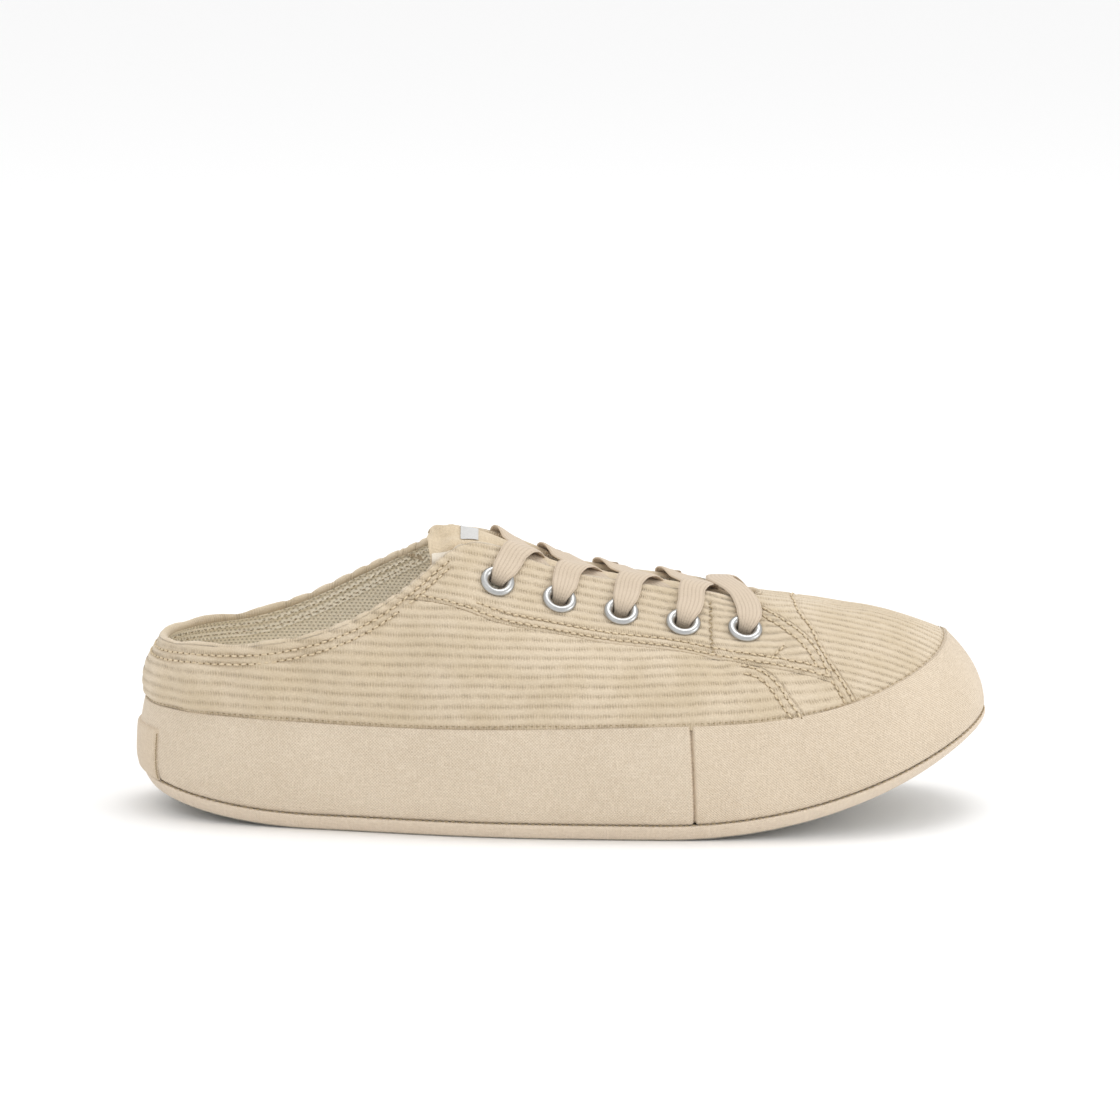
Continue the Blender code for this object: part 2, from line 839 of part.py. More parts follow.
def make_bar(material):
    """The last stretch of lace, straight over the throat between the lowest eyelets."""
    lift = LACE_GAP + LACE_THICKNESS / 2
    last = len(rows_of(EYELET_ROWS)) - 1
    x = EYELET_FIRST * LENGTH + EYELET_PITCH * last
    ends = []
    for inner in (False, True):
        edge = edge_turn(x, inner)
        ends.append(over_stay(eyelet_places(inner)[last], edge, lift))
    left, right = ends
    middle = (left[-1][0] + right[-1][0]) / 2 + Vector((0, 0, TONGUE_CROWN / 2))
    line = left + [(middle, throat_normal(edge))] + right[::-1]
    return new_object("lace_bar", strap(line), material)


def finish(name, color, roughness, metallic=0):
    """A plain material in the piece's own colour."""
    material = bpy.data.materials.new(name)
    material.use_nodes = True
    shader = material.node_tree.nodes["Principled BSDF"]
    shader.inputs["Base Color"].default_value = (*color, 1)
    shader.inputs["Roughness"].default_value = roughness
    shader.inputs["Metallic"].default_value = metallic
    material.diffuse_color = (*color, 1)
    return material


def new_collection(name):
    collection = bpy.data.collections.new(name)
    bpy.context.scene.collection.children.link(collection)
    return collection


for old in list(bpy.data.objects):
    bpy.data.objects.remove(old, do_unlink=True)

PARTS = new_collection("corduroy_sneaker")
CUTTERS = new_collection("cutters")

RUBBER = finish("sole_rubber", (0.45, 0.42, 0.36), 0.75)
CANVAS = finish("sole_canvas", (0.72, 0.62, 0.47), 0.9)
CORDUROY = finish("corduroy", (0.70, 0.58, 0.38), 0.95)
LINING = finish("lining", (0.55, 0.50, 0.38), 0.95)
TONGUE_CLOTH = finish("tongue_fabric", (0.62, 0.54, 0.37), 0.95)
LACE = finish("lace_cotton", (0.76, 0.64, 0.51), 0.85)
METAL = finish("eyelet_metal", (0.75, 0.75, 0.75), 0.3, metallic=1)

make_outsole(RUBBER)
make_midsole(CANVAS)
make_insole(LINING)
make_upper(CORDUROY)
make_tongue(TONGUE_CLOTH)
for crossing_row in range(len(rows_of(EYELET_ROWS)) - 1):
    make_crossing(crossing_row, LACE)
make_bar(LACE)
for side, on_inner in (("lateral", False), ("medial", True)):
    for number, (eyelet_turn, eyelet_share) in enumerate(eyelet_places(on_inner), start=1):
        make_eyelet(f"eyelet_{side}_{number}", eyelet_turn, eyelet_share, METAL)
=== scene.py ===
# %% [markdown]
# # A corduroy sneaker on a canvas-wrapped sole
#
# The shoe's plain solids are already there: a imported model holds the sole, the upper, the
# tongue, the laces and the eyelets in metres, with the toe towards +X and the outer side of
# the foot towards -Y. This lesson dresses it. Every panel of cloth is cut from the same
# curved form as the solids, so that it lies on them, and each finish is a set of shader
# nodes. First the frame is loaded.

# %% The frame that carries every piece
import math

import bpy
import numpy as np
from mathutils import Matrix


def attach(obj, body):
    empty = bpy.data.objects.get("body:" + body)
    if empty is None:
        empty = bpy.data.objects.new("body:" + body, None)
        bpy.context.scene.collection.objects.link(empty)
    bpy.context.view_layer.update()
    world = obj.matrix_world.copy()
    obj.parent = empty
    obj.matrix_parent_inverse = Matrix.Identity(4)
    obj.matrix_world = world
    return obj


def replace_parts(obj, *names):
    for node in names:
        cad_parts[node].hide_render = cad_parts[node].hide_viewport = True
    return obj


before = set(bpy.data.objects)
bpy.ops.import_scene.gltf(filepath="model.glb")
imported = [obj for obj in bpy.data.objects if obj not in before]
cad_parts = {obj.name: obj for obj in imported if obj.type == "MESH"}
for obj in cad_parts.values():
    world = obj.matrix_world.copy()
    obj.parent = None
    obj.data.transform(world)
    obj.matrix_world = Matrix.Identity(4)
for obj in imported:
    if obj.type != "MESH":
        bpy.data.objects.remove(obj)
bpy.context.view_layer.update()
MM = 0.001
print("nodes in the frame:", len(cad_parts))

# %% [markdown]
# ## The camera
#
# The photograph was taken from far away, a little above the shoe and square to its side. A
# long lens copies that. The view is worked out here, because the same sums also turn
# a place in the photograph into a place on the shoe, which sets the seams where they belong.

# %% The photograph's camera
PHOTO_SIDE = 1120
AZIMUTH = math.radians(-1.0)
ELEVATION = math.radians(12.0)
ROLL = math.radians(-0.6)
DISTANCE = 1.5
FIELD = 0.3597
AIM = np.array([0, 0, 0.045])
SHIFT = (-0.0035, 0.0986)
SENSOR = 36

level_right = np.array([math.cos(AZIMUTH), math.sin(AZIMUTH), 0])
BACK = np.array(
    [
        math.sin(AZIMUTH) * math.cos(ELEVATION),
        -math.cos(AZIMUTH) * math.cos(ELEVATION),
        math.sin(ELEVATION),
    ]
)
level_up = np.cross(BACK, level_right)
RIGHT = level_right * math.cos(ROLL) - level_up * math.sin(ROLL)
UP = level_right * math.sin(ROLL) + level_up * math.cos(ROLL)


def add_camera():
    """A long lens that looks at the shoe as the photograph does."""
    data = bpy.data.cameras.new("camera")
    data.sensor_width = SENSOR
    data.lens = SENSOR * DISTANCE / FIELD
    data.shift_x, data.shift_y = SHIFT
    camera = bpy.data.objects.new("camera", data)
    place = np.eye(4)
    place[:3, 0], place[:3, 1], place[:3, 2] = RIGHT, UP, BACK
    place[:3, 3] = AIM + BACK * DISTANCE
    camera.matrix_world = Matrix(place.tolist())
    bpy.context.scene.collection.objects.link(camera)
    bpy.context.scene.camera = camera
    return camera


print("lens:", round(add_camera().data.lens), "mm")

# %% A place on the shoe as a place in the photograph


def to_photo(points):
    """The pixel of the photograph at which each point shows."""
    from_aim = np.asarray(points) - AIM
    nearer = DISTANCE / (DISTANCE - from_aim @ BACK)
    across = (from_aim @ RIGHT) * nearer / FIELD - SHIFT[0]
    down = SHIFT[1] - (from_aim @ UP) * nearer / FIELD
    return np.stack([0.5 + across, 0.5 + down], -1) * PHOTO_SIDE


print("middle of the sole shows at", to_photo([0, 0, 0]).round())

# %% [markdown]
# ## The form under the cloth
#
# A shoemaker's last gives a shoe its shape. Here it is a few short tables and smooth curves
# through them, the same as in the solid model. A "turn" goes round the shoe: 0 is the middle
# of the heel, 1 the tip of the toe along the outer side, and 2 the heel again. On the upper a
# "share" climbs from the sole at 0 to the collar or throat at 1. NumPy works on whole grids
# of turns and shares at once, so that fine cloth meshes take a moment and not minutes.

# %% Sizes of the shoe
LENGTH = 0.272
BALL_WIDTH = 0.098
SOLE_HEIGHT = 0.0365
COLLAR_RISE = 0.0196
INSTEP_RISE = 0.0537
VAMP_RISE = 0.0328
COLLAR_WIDTH = 0.060
THROAT_WIDTH = 0.021
UPPER_WALL = 0.0025
UPPER_SEAT_GAP = 0.0005
OUTSOLE_THICKNESS = 0.005
TOE_SPRING = 0.028
TOE_SPRING_FROM = 0.61
HEEL_BEVEL_RISE = 0.0075
HEEL_BEVEL_LENGTH = 0.058
ARCH_RISE = 0.003
ARCH_FROM = 0.34
ARCH_TO = 0.52
TOE_LEAN = 0.013
BOTTOM_TUCK = 0.0045
HANDLE = 0.38

# %% The last as short tables
# along is a share of the length, across a share of half the ball width.
OUTLINE_OUTER = (
    ("along", "across"),
    (0.000, 0.05),
    (0.035, -0.40),
    (0.120, -0.65),
    (0.250, -0.80),
    (0.400, -0.95),
    (0.550, -1.00),
    (0.660, -1.00),
    (0.780, -0.92),
    (0.890, -0.71),
    (0.970, -0.34),
    (1.000, 0.14),
)
OUTLINE_INNER = (
    ("along", "across"),
    (0.035, 0.50),
    (0.120, 0.70),
    (0.270, 0.70),
    (0.420, 0.70),
    (0.570, 0.87),
    (0.710, 1.00),
    (0.810, 0.97),
    (0.910, 0.82),
    (0.980, 0.54),
)
AXIS = (
    ("along", "across"),
    (0.00, 0.05),
    (0.25, 0.00),
    (0.50, -0.01),
    (0.75, 0.03),
    (1.00, 0.14),
)
# height is a share of the sole height.
FEATHER = (
    ("along", "height"),
    (0.00, 0.98),
    (0.12, 0.97),
    (0.31, 0.95),
    (0.48, 0.98),
    (0.65, 1.02),
    (0.78, 1.09),
    (0.86, 1.22),
    (0.94, 1.42),
    (1.00, 1.59),
)
BED = (
    ("along", "height"),
    (0.00, 0.80),
    (0.30, 0.78),
    (0.60, 0.78),
    (0.80, 0.66),
    (1.00, 0.50),
)
WALL = (
    ("turn", "bulge", "lean"),
    (0.00, 0.40, 0.12),
    (0.20, 0.40, 0.20),
    (0.40, 0.42, 0.24),
    (0.60, 0.40, 0.26),
    (0.75, 0.30, 0.38),
    (0.85, 0.22, 0.64),
    (0.93, 0.17, 0.90),
    (1.00, 0.16, 1.00),
)
TOPLINE_TOP = 0.43
TOPLINE = (
    ("turn", "along", "collar", "throat", "climb_outer", "climb_inner"),
    (0.00, 0.024, 0.00, 0.00, 0.00, 0.00),
    (0.05, 0.028, 0.27, 0.00, 0.01, 0.01),
    (0.10, 0.040, 0.49, 0.00, 0.02, 0.02),
    (0.15, 0.062, 0.68, 0.00, 0.04, 0.04),
    (0.20, 0.097, 0.85, 0.00, 0.06, 0.06),
    (0.25, 0.146, 0.96, 0.00, 0.10, 0.12),
    (0.30, 0.206, 1.00, 0.00, 0.21, 0.30),
    (0.35, 0.273, 0.93, 0.05, 0.43, 0.58),
    (0.40, 0.341, 0.52, 0.50, 0.80, 0.88),
    (0.43, 0.383, 0.18, 0.84, 1.00, 1.00),
    (0.46, 0.430, 0.03, 0.97, 0.90, 0.92),
    (0.50, 0.488, 0.00, 1.00, 0.60, 0.62),
    (0.55, 0.555, 0.00, 1.00, 0.40, 0.40),
    (0.60, 0.610, 0.00, 1.00, 0.28, 0.28),
    (0.65, 0.650, 0.00, 1.00, 0.20, 0.20),
    (0.70, 0.680, 0.00, 0.97, 0.12, 0.12),
    (0.75, 0.701, 0.00, 0.88, 0.06, 0.06),
    (0.80, 0.715, 0.00, 0.72, 0.03, 0.03),
    (0.85, 0.724, 0.00, 0.54, 0.01, 0.01),
    (0.90, 0.729, 0.00, 0.36, 0.00, 0.00),
    (1.00, 0.732, 0.00, 0.00, 0.00, 0.00),
)
# Degrees from upright: where the upper leaves the sole, and at its topline.
LEAN = (
    ("turn", "foot", "rim"),
    (0.00, -14, 36),
    (0.15, -12, 28),
    (0.25, -6, 15),
    (0.35, -2, 16),
    (0.42, 2, 38),
    (0.50, 6, 44),
    (0.60, 20, 48),
    (0.70, 34, 56),
    (0.75, 40, 66),
    (0.80, 48, 74),
    (0.85, 55, 80),
    (0.90, 61, 82),
    (1.00, 69, 81),
)

# %% Smooth curves through the tables


def spline(knots, values, period=None):
    """A curve with smooth curvature through the points, as a function of an array."""
    x = np.array(knots, float)
    y = np.array(values, float)
    if period:
        x = np.append(x, x[0] + period)
        y = np.append(y, y[0])
    last = len(x) - 1
    step = np.diff(x)
    slope = np.diff(y) / step
    system = np.eye(last + 1)
    right = np.zeros(last + 1)
    for i in range(1, last):
        system[i, i - 1 : i + 2] = step[i - 1], 2 * (step[i - 1] + step[i]), step[i]
        right[i] = 6 * (slope[i] - slope[i - 1])
    if period:
        system[0, [0, 1, last - 1]] = 2 * (step[0] + step[-1]), step[0], step[-1]
        right[0] = 6 * (slope[0] - slope[-1])
        system[last, 0] = -1
    bend = np.linalg.solve(system, right)

    def at(t):
        t = np.asarray(t, float)
        if period:
            t = (t - x[0]) % period + x[0]
        t = np.clip(t, x[0], x[-1])
        i = np.clip(np.searchsorted(x, t, side="right") - 1, 0, last - 1)
        after = t - x[i]
        before = x[i + 1] - t
        cubic = (bend[i] * before**3 + bend[i + 1] * after**3) / (6 * step[i])
        line = (y[i] * before + y[i + 1] * after) / step[i]
        return cubic + line - step[i] * (bend[i] * before + bend[i + 1] * after) / 6

    return at


def column(table, name):
    place = table[0].index(name)
    return [row[place] for row in table[1:]]


def along_spline(table, name):
    return spline(column(table, "along"), column(table, name))


def ring_spline(table, outer, inner=None, mirror=1):
    """A column as a function of the turn. The inner side repeats it, times mirror."""
    turns = column(table, "turn")
    near = [value * mirror for value in column(table, outer)]
    far = column(table, inner or outer)
    knots = turns + [2 - turn for turn in turns[-2:0:-1]]
    return spline(knots, near + far[-2:0:-1], period=2)


def turn_of(along):
    """The turn on the outer side at a share of the length."""
    return np.arccos(1 - 2 * np.asarray(along, float)) / math.pi


def outline_spline():
    """The outline's across as a function of the turn, scaled to reach just -1 and 1."""
    outer = turn_of(column(OUTLINE_OUTER, "along"))
    inner = 2 - turn_of(column(OUTLINE_INNER, "along"))
    knots = list(outer) + list(inner[::-1])
    values = column(OUTLINE_OUTER, "across") + column(OUTLINE_INNER, "across")[::-1]
    raw = spline(knots, values, period=2)
    samples = raw(np.arange(1000) / 500)
    low, high = samples.min(), samples.max()
    return lambda turn: (2 * raw(turn) - low - high) / (high - low)


ACROSS = outline_spline()
AXIS_ACROSS = along_spline(AXIS, "across")
FEATHER_HEIGHT = along_spline(FEATHER, "height")
BED_HEIGHT = along_spline(BED, "height")
WALL_BULGE = ring_spline(WALL, "bulge")
WALL_LEAN = ring_spline(WALL, "lean")
TOP_ALONG = ring_spline(TOPLINE, "along")
TOP_COLLAR = ring_spline(TOPLINE, "collar", mirror=-1)
TOP_THROAT = ring_spline(TOPLINE, "throat", mirror=-1)
TOP_CLIMB = ring_spline(TOPLINE, "climb_outer", "climb_inner")
LEAN_FOOT = ring_spline(LEAN, "foot")
LEAN_RIM = ring_spline(LEAN, "rim")

# %% Vectors and lines in arrays
NO_LENGTH = 1e-12
UPRIGHT = np.array([0, 0, 1])


def vector(x, y, z):
    return np.stack(np.broadcast_arrays(x, y, z), -1).astype(float)


def length(vectors):
    return np.linalg.norm(vectors, axis=-1, keepdims=True)


def unit(vectors):
    return vectors / np.maximum(length(vectors), NO_LENGTH)


def pair(first, second):
    """Two arrays as one array of pairs, each stretched to the other's shape."""
    return np.stack(np.broadcast_arrays(first, second), -1)


def run_along(points):
    """The distance from the start of a line of points, or of each row of a grid of them."""
    steps = length(np.diff(points, axis=-2))[..., 0]
    return np.concatenate([np.zeros_like(steps[..., :1]), np.cumsum(steps, axis=-1)], axis=-1)


def read_off(at, run, values):
    """Each column of values at some distances of a run."""
    return np.stack([np.interp(at, run, column) for column in values.T], -1)


def spaced(run, values, spacing):
    """The values at even distances of a run."""
    return np.interp(np.linspace(0, run[-1], int(run[-1] / spacing)), run, values)


def rounded(away, reach):
    """A quarter circle, from 0 at an edge to 1 at a reach from it."""
    return np.sqrt(1 - (1 - np.minimum(away / reach, 1)) ** 2)


def smooth_step(value, low, high):
    share = np.clip((value - low) / (high - low), 0, 1)
    return share * share * (3 - 2 * share)


def bump(value, width):
    """1 at a value of nothing, fading to 0 over about the width."""
    return np.exp(-((value / width) ** 2))


# %% The sole's wall and the feather line
# How far to both sides of a place a direction is measured, as a turn or a share.
SOLE_STEP = 0.002
UPPER_STEP = 0.004


def share_along(turn):
    return (1 - np.cos(math.pi * np.asarray(turn, float))) / 2


def outline(turn):
    """A point of the sole's widest outline, on the floor, from the middle of the shoe."""
    x = LENGTH * (share_along(turn) - 0.5)
    return vector(x, BALL_WIDTH / 2 * ACROSS(turn), 0)


def inward(turn):
    """The level direction into the shoe, square to the outline."""
    turn = np.asarray(turn)
    ahead = outline(turn + SOLE_STEP) - outline(turn - SOLE_STEP)
    return unit(vector(-ahead[..., 1], ahead[..., 0], 0))


def underside(turn):
    """The height of the sole's underside at its edge: heel bevel, arch and toe spring."""
    along = share_along(turn)
    back = np.maximum(1 - along * LENGTH / HEEL_BEVEL_LENGTH, 0)
    ahead = np.maximum((along - TOE_SPRING_FROM) * LENGTH, 0)
    reach = (1 - TOE_SPRING_FROM) * LENGTH
    radius = (reach**2 + TOE_SPRING**2) / (2 * TOE_SPRING)
    share = np.clip((along - ARCH_FROM) / (ARCH_TO - ARCH_FROM), 0, 1)
    arch = np.where(np.asarray(turn) % 2 > 1, ARCH_RISE * np.sin(math.pi * share) ** 2, 0)
    return HEEL_BEVEL_RISE * back**2 + radius - np.sqrt(radius**2 - ahead**2) + arch


def wall_height(turn):
    return SOLE_HEIGHT * FEATHER_HEIGHT(share_along(turn)) - underside(turn)


def wall_point(turn, height):
    """A point of the sole's side wall, at a height above the underside's edge."""
    share = height / wall_height(turn)
    bulge = WALL_BULGE(turn)
    low = BOTTOM_TUCK * np.maximum(1 - share / bulge, 0) ** 2
    lean = TOE_LEAN * WALL_LEAN(turn)
    high = lean * np.maximum((share - bulge) / (1 - bulge), 0) ** 2
    point = outline(turn) + inward(turn) * (low + high)[..., None]
    point[..., 2] = underside(turn) + height
    return point


def feather(turn):
    return wall_point(turn, wall_height(turn))


# %% The upper's outer face
# While rim and foot are this far apart, the way between them takes over from the way inward.
LEVEL_FADE = (4 * MM, 20 * MM)


def leaning(level, degrees):
    """A unit vector that leans from upright towards a level direction."""
    angle = np.radians(degrees)[..., None]
    return level * np.sin(angle) + UPRIGHT * np.cos(angle)


def topline(turn):
    """A point of the collar's or throat's edge."""
    turn = np.asarray(turn, float)
    along = TOP_ALONG(turn)
    half = TOP_COLLAR(turn) * COLLAR_WIDTH / 2 + TOP_THROAT(turn) * THROAT_WIDTH / 2
    middle = AXIS_ACROSS(along) * BALL_WIDTH / 2
    around = turn % 2
    behind = np.minimum(around, 2 - around) < TOPLINE_TOP
    base = np.where(behind, COLLAR_RISE, VAMP_RISE)
    rise = base + (INSTEP_RISE - base) * TOP_CLIMB(turn)
    height = SOLE_HEIGHT * FEATHER_HEIGHT(along) + rise
    return vector(LENGTH * (along - 0.5), middle + half, height)


def upper_point(turn, share):
    """A point of the upper's outer face: share is 0 at the feather line, 1 at the topline."""
    turn = np.asarray(turn, float)
    rise = leaning(inward(turn), LEAN_FOOT(turn))
    foot = feather(turn) + rise * UPPER_SEAT_GAP
    rim = topline(turn)
    level = (rim - foot) * np.array([1, 1, 0])
    far = smooth_step(length(level), *LEVEL_FADE)
    across = unit(inward(turn) * (1 - far) + unit(level) * far)
    reach = HANDLE * length(rim - foot)
    first = foot + rise * reach
    second = rim - leaning(across, LEAN_RIM(turn)) * reach
    share = np.asarray(share, float)[..., None]
    rest = 1 - share
    return (
        foot * rest**3
        + first * (3 * rest**2 * share)
        + second * (3 * rest * share**2)
        + rim * share**3
    )


def ahead_on_upper(turn, share):
    return upper_point(turn + UPPER_STEP, share) - upper_point(turn - UPPER_STEP, share)


def upper_normal(turn, share):
    """The outward unit normal of the upper's outer face."""
    turn = np.asarray(turn, float)
    share = np.asarray(share, float)
    up = upper_point(turn, share + UPPER_STEP) - upper_point(turn, share - UPPER_STEP)
    return unit(np.cross(ahead_on_upper(turn, share), up))


# %% Distances up the upper
CLIMB_SHARES = np.linspace(0, 1, 121)


def climbs(turns):
    """For each turn, how far each of CLIMB_SHARES is above the sole, on the surface."""
    return run_along(upper_point(np.asarray(turns)[:, None], CLIMB_SHARES[None, :]))


def shares_at(turns, heights):
    """The share at each height up the surface. Heights has a row for each turn."""
    rows = climbs(turns)
    return np.array([np.interp(h, row, CLIMB_SHARES) for h, row in zip(heights, rows)])


def shares_below_topline(turns, distance):
    """The share at a distance below the topline, measured on the surface."""
    turns = np.asarray(turns, float)
    full = climbs(turns)[:, -1]
    return shares_at(turns, (full - distance)[:, None])[:, 0]


heel_rise, toe_rise = climbs(np.array([0, 1]))[:, -1] / MM
print(f"the upper is {heel_rise:.0f} mm high at the heel and {toe_rise:.0f} mm at the toe")

# %% Any place on the upper as a height up the cloth
TABLE_TURNS = np.linspace(0, 2, 801)
TABLE = climbs(TABLE_TURNS)


def climb_at(turn, share):
    """How far each place is above the sole, read from a table of the whole upper."""
    turn, share = np.broadcast_arrays(np.asarray(turn, float) % 2, share)
    i = turn / 2 * (len(TABLE_TURNS) - 1)
    j = np.clip(share, 0, 1) * (len(CLIMB_SHARES) - 1)
    i0 = np.minimum(i.astype(int), len(TABLE_TURNS) - 2)
    j0 = np.minimum(j.astype(int), len(CLIMB_SHARES) - 2)
    fi, fj = i - i0, j - j0
    low = TABLE[i0, j0] * (1 - fj) + TABLE[i0, j0 + 1] * fj
    high = TABLE[i0 + 1, j0] * (1 - fj) + TABLE[i0 + 1, j0 + 1] * fj
    return low * (1 - fi) + high * fi


# %% [markdown]
# ## Seams from the photograph
#
# The panels' edges can't be measured on the shoe, but they can be read off the photograph as
# a few pixels each. Every pixel is looked up on the curved upper, so that the seam lies on
# the form and follows it round. The inner side of the shoe, which the photograph hides, gets
# the same seams mirrored.

# %% Seam lines in photograph pixels
STAY_LOWER_EDGE = (
    (396, 598),
    (420, 600),
    (442, 604),
    (463, 610),
    (508, 625),
    (556, 634),
    (611, 643),
    (677, 651),
    (713, 658),
    (750, 664),
    (775, 668),
    (800, 673),
    (832, 682),
)
QUARTER_FRONT_EDGE = ((735, 660), (762, 668), (777, 679), (790, 697), (804, 715))
TOE_CAP_SEAM = ((857, 696), (847, 681), (837, 666), (824, 646), (811, 621), (800, 605))
BAR_TACK = ((771, 660), (778, 652), (785, 645))
SIDE_SEAM = ((709.5, 602), (711, 630), (713, 656))

# %% Looking the pixels up on the upper
LOOKUP_TURNS = np.linspace(0, 1, 701)
LOOKUP_SHARES = np.linspace(0, 1, 281)
lookup_places = (LOOKUP_TURNS[:, None], LOOKUP_SHARES[None, :])
LOOKUP_PIXELS = to_photo(upper_point(*lookup_places))
LOOKUP_FACING = upper_normal(*lookup_places) @ BACK > 0.02


def on_upper(pixels):
    """The turn and share at which each pixel of the photograph meets the upper."""
    places = []
    for pixel in pixels:
        away = ((LOOKUP_PIXELS - np.array(pixel)) ** 2).sum(-1)
        away[~LOOKUP_FACING] = np.inf
        i, j = np.unravel_index(away.argmin(), away.shape)
        places.append((LOOKUP_TURNS[i], LOOKUP_SHARES[j]))
    return np.array(places)


def smooth_line(places, count):
    """A smooth line through places, with points at even distances on the shoe."""
    places = np.asarray(places, float)
    run = run_along(upper_point(*places.T))
    at = np.linspace(0, run[-1], count)
    return np.stack([spline(run, column)(at) for column in places.T], -1)


def mirrored(line):
    """The same line on the inner side of the shoe."""
    return pair(2 - line[:, 0], line[:, 1])


stay_edge = smooth_line(on_upper(STAY_LOWER_EDGE), 200)
CAP_TOP = (1.0, 0.83)
CAP_FOOT_SHARE = -0.01
cap_half = on_upper(TOE_CAP_SEAM)
cap_half[0, 1] = CAP_FOOT_SHARE
cap_seam = smooth_line(np.concatenate([cap_half, [CAP_TOP], mirrored(cap_half)[::-1]]), 401)
print("toe cap seam at the middle:", cap_seam[200].round(3))

# %% [markdown]
# ## Making cloth
#
# Corduroy is raised ribs of pile, called wales, with narrow grooves between. From the side
# they scallop the outline of the shoe, so they have to be real shape and not only shading.
# Each panel is therefore a fine grid, whose points are pushed out by the height of the rib
# under them. A grid is quick to make and carries two cloth coordinates in millimetres, along
# and across the wales, as its UV map. The shader reads those for everything finer.

# %% Corduroy's own shape
WALE = 3.18 * MM
WALE_HEIGHT = 0.18 * MM
GROOVE_HALF_WIDTH = 0.50 * MM
CROWN_HEIGHT = 0.20 * MM
# The wales waver a little: reach, and the lengths along and across over which they do.
WAVERS = ((0.26 * MM, 13.0 * MM, 9.0 * MM), (0.13 * MM, -4.3 * MM, 5.1 * MM))


def waver(along, across):
    """How far a wale strays across the cloth at a place on it."""
    stray = 0
    for reach, run, rise in WAVERS:
        stray = stray + reach * np.sin(along / run + across / rise)
    return stray


def wale_height(across):
    """The height of the pile at a distance across the wales."""
    phase = np.mod(across / WALE, 1)
    from_groove = np.minimum(phase, 1 - phase) * WALE
    return WALE_HEIGHT * (1 - bump(from_groove, GROOVE_HALF_WIDTH)) + CROWN_HEIGHT * np.sin(
        math.pi * phase
    )


# %% A grid of points as a piece of cloth
NO_HEIGHT = 1e-6
NEAREST_BATCH = 4000
FAR = 12 * MM


def add_piece(name, points, faces, material, corners=None):
    """A smooth mesh that rides on the shoe, with cloth coordinates if its corners have them."""
    mesh = bpy.data.meshes.new(name)
    mesh.from_pydata(points.reshape(-1, 3).tolist(), [], faces)
    if corners is not None:
        mesh.uv_layers.new(name="cloth").data.foreach_set("uv", (corners / MM).ravel())
    mesh.shade_smooth()
    mesh.materials.append(material)
    piece = bpy.data.objects.new(name, mesh)
    bpy.context.scene.collection.objects.link(piece)
    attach(piece, "root")
    print(f"{name}: {sum(len(face) - 2 for face in faces)} triangles")
    return piece


def add_cloth(name, points, cloth, material, flip=False, drop=None):
    """A smooth mesh over a grid of points. Squares with no height are left out."""
    rows, columns = points.shape[:2]
    index = np.arange(rows * columns).reshape(rows, columns)
    faces = np.stack([index[:-1, :-1], index[1:, :-1], index[1:, 1:], index[:-1, 1:]], -1)
    if flip:
        faces = faces[..., ::-1]
    tall = length(points[:, 1:] - points[:, :-1])[..., 0] > NO_HEIGHT
    wide = length(points[1:] - points[:-1])[..., 0] > NO_HEIGHT
    keep = (tall[:-1] | tall[1:]) & (wide[:, :-1] | wide[:, 1:])
    if drop is not None:
        keep &= ~drop
    faces = faces[keep]
    corners = cloth.reshape(-1, 2)[faces.ravel()]
    return add_piece(name, points, faces.tolist(), material, corners)


def nearest(points, line, reach=FAR):
    """The distance of each point from a line of points, up to a reach."""
    flat = points.reshape(-1, 3)
    best = np.full(len(flat), reach)
    for start in range(0, len(flat), NEAREST_BATCH):
        part = flat[start : start + NEAREST_BATCH]
        low, high = part.min(0) - reach, part.max(0) + reach
        close = line[((line > low) & (line < high)).all(1)]
        if len(close):
            away = np.sqrt(((part[:, None] - close[None]) ** 2).sum(-1)).min(1)
            best[start : start + NEAREST_BATCH] = np.minimum(away, reach)
    return best.reshape(points.shape[:-1])


# %% [markdown]
# ## Finishes
#
# Every finish is built from a handful of node groups: ribbed pile, woven threads, knitted
# mesh and the soft mottling that any dyed cloth has. Each group takes its sizes as inputs and
# hands out masks and heights. The colours, the bump and the shader stay in the material.

# %% Helpers for node trees


def linear(color):
    """A colour given as on a screen, from 0 to 255, as Blender's linear colour."""
    shares = [value / 255 for value in color]
    # The standard curve of screens: a straight start, then a power.
    return [s / 12.92 if s <= 0.04045 else ((s + 0.055) / 1.055) ** 2.4 for s in shares] + [1]


def feed(tree, socket, value):
    """Gives an input a link, a colour from 0 to 255 or a number."""
    if isinstance(value, bpy.types.NodeSocket):
        tree.links.new(value, socket)
    elif isinstance(value, tuple):
        socket.default_value = linear(value)
    elif value is not None:
        socket.default_value = value


def sum_of(tree, operation, first, second=None, third=None):
    """One Math node; each part is a number or a socket."""
    made = tree.nodes.new("ShaderNodeMath")
    made.operation = operation
    for socket, value in zip(made.inputs, (first, second, third)):
        feed(tree, socket, value)
    return made.outputs[0]


RAMP_INPUTS = ("Value", "From Min", "From Max", "To Min", "To Max")


def between(tree, value, low, high, start=0.0, end=1.0):
    """A smooth ramp from start to end while the value goes from low to high."""
    made = tree.nodes.new("ShaderNodeMapRange")
    made.interpolation_type = "SMOOTHSTEP"
    for label, part in zip(RAMP_INPUTS, (value, low, high, start, end)):
        feed(tree, made.inputs[label], part)
    return made.outputs["Result"]


def weighed(tree, *parts, start=0):
    """A sum of masks, each times its share."""
    for mask, share in parts:
        start = sum_of(tree, "MULTIPLY_ADD", mask, share, start)
    return start


# The Mix node has inputs and outputs for every kind of data; these are the ones for colours.
MIX_SHARE = 0
MIX_COLORS = (6, 7)
MIX_RESULT = 2


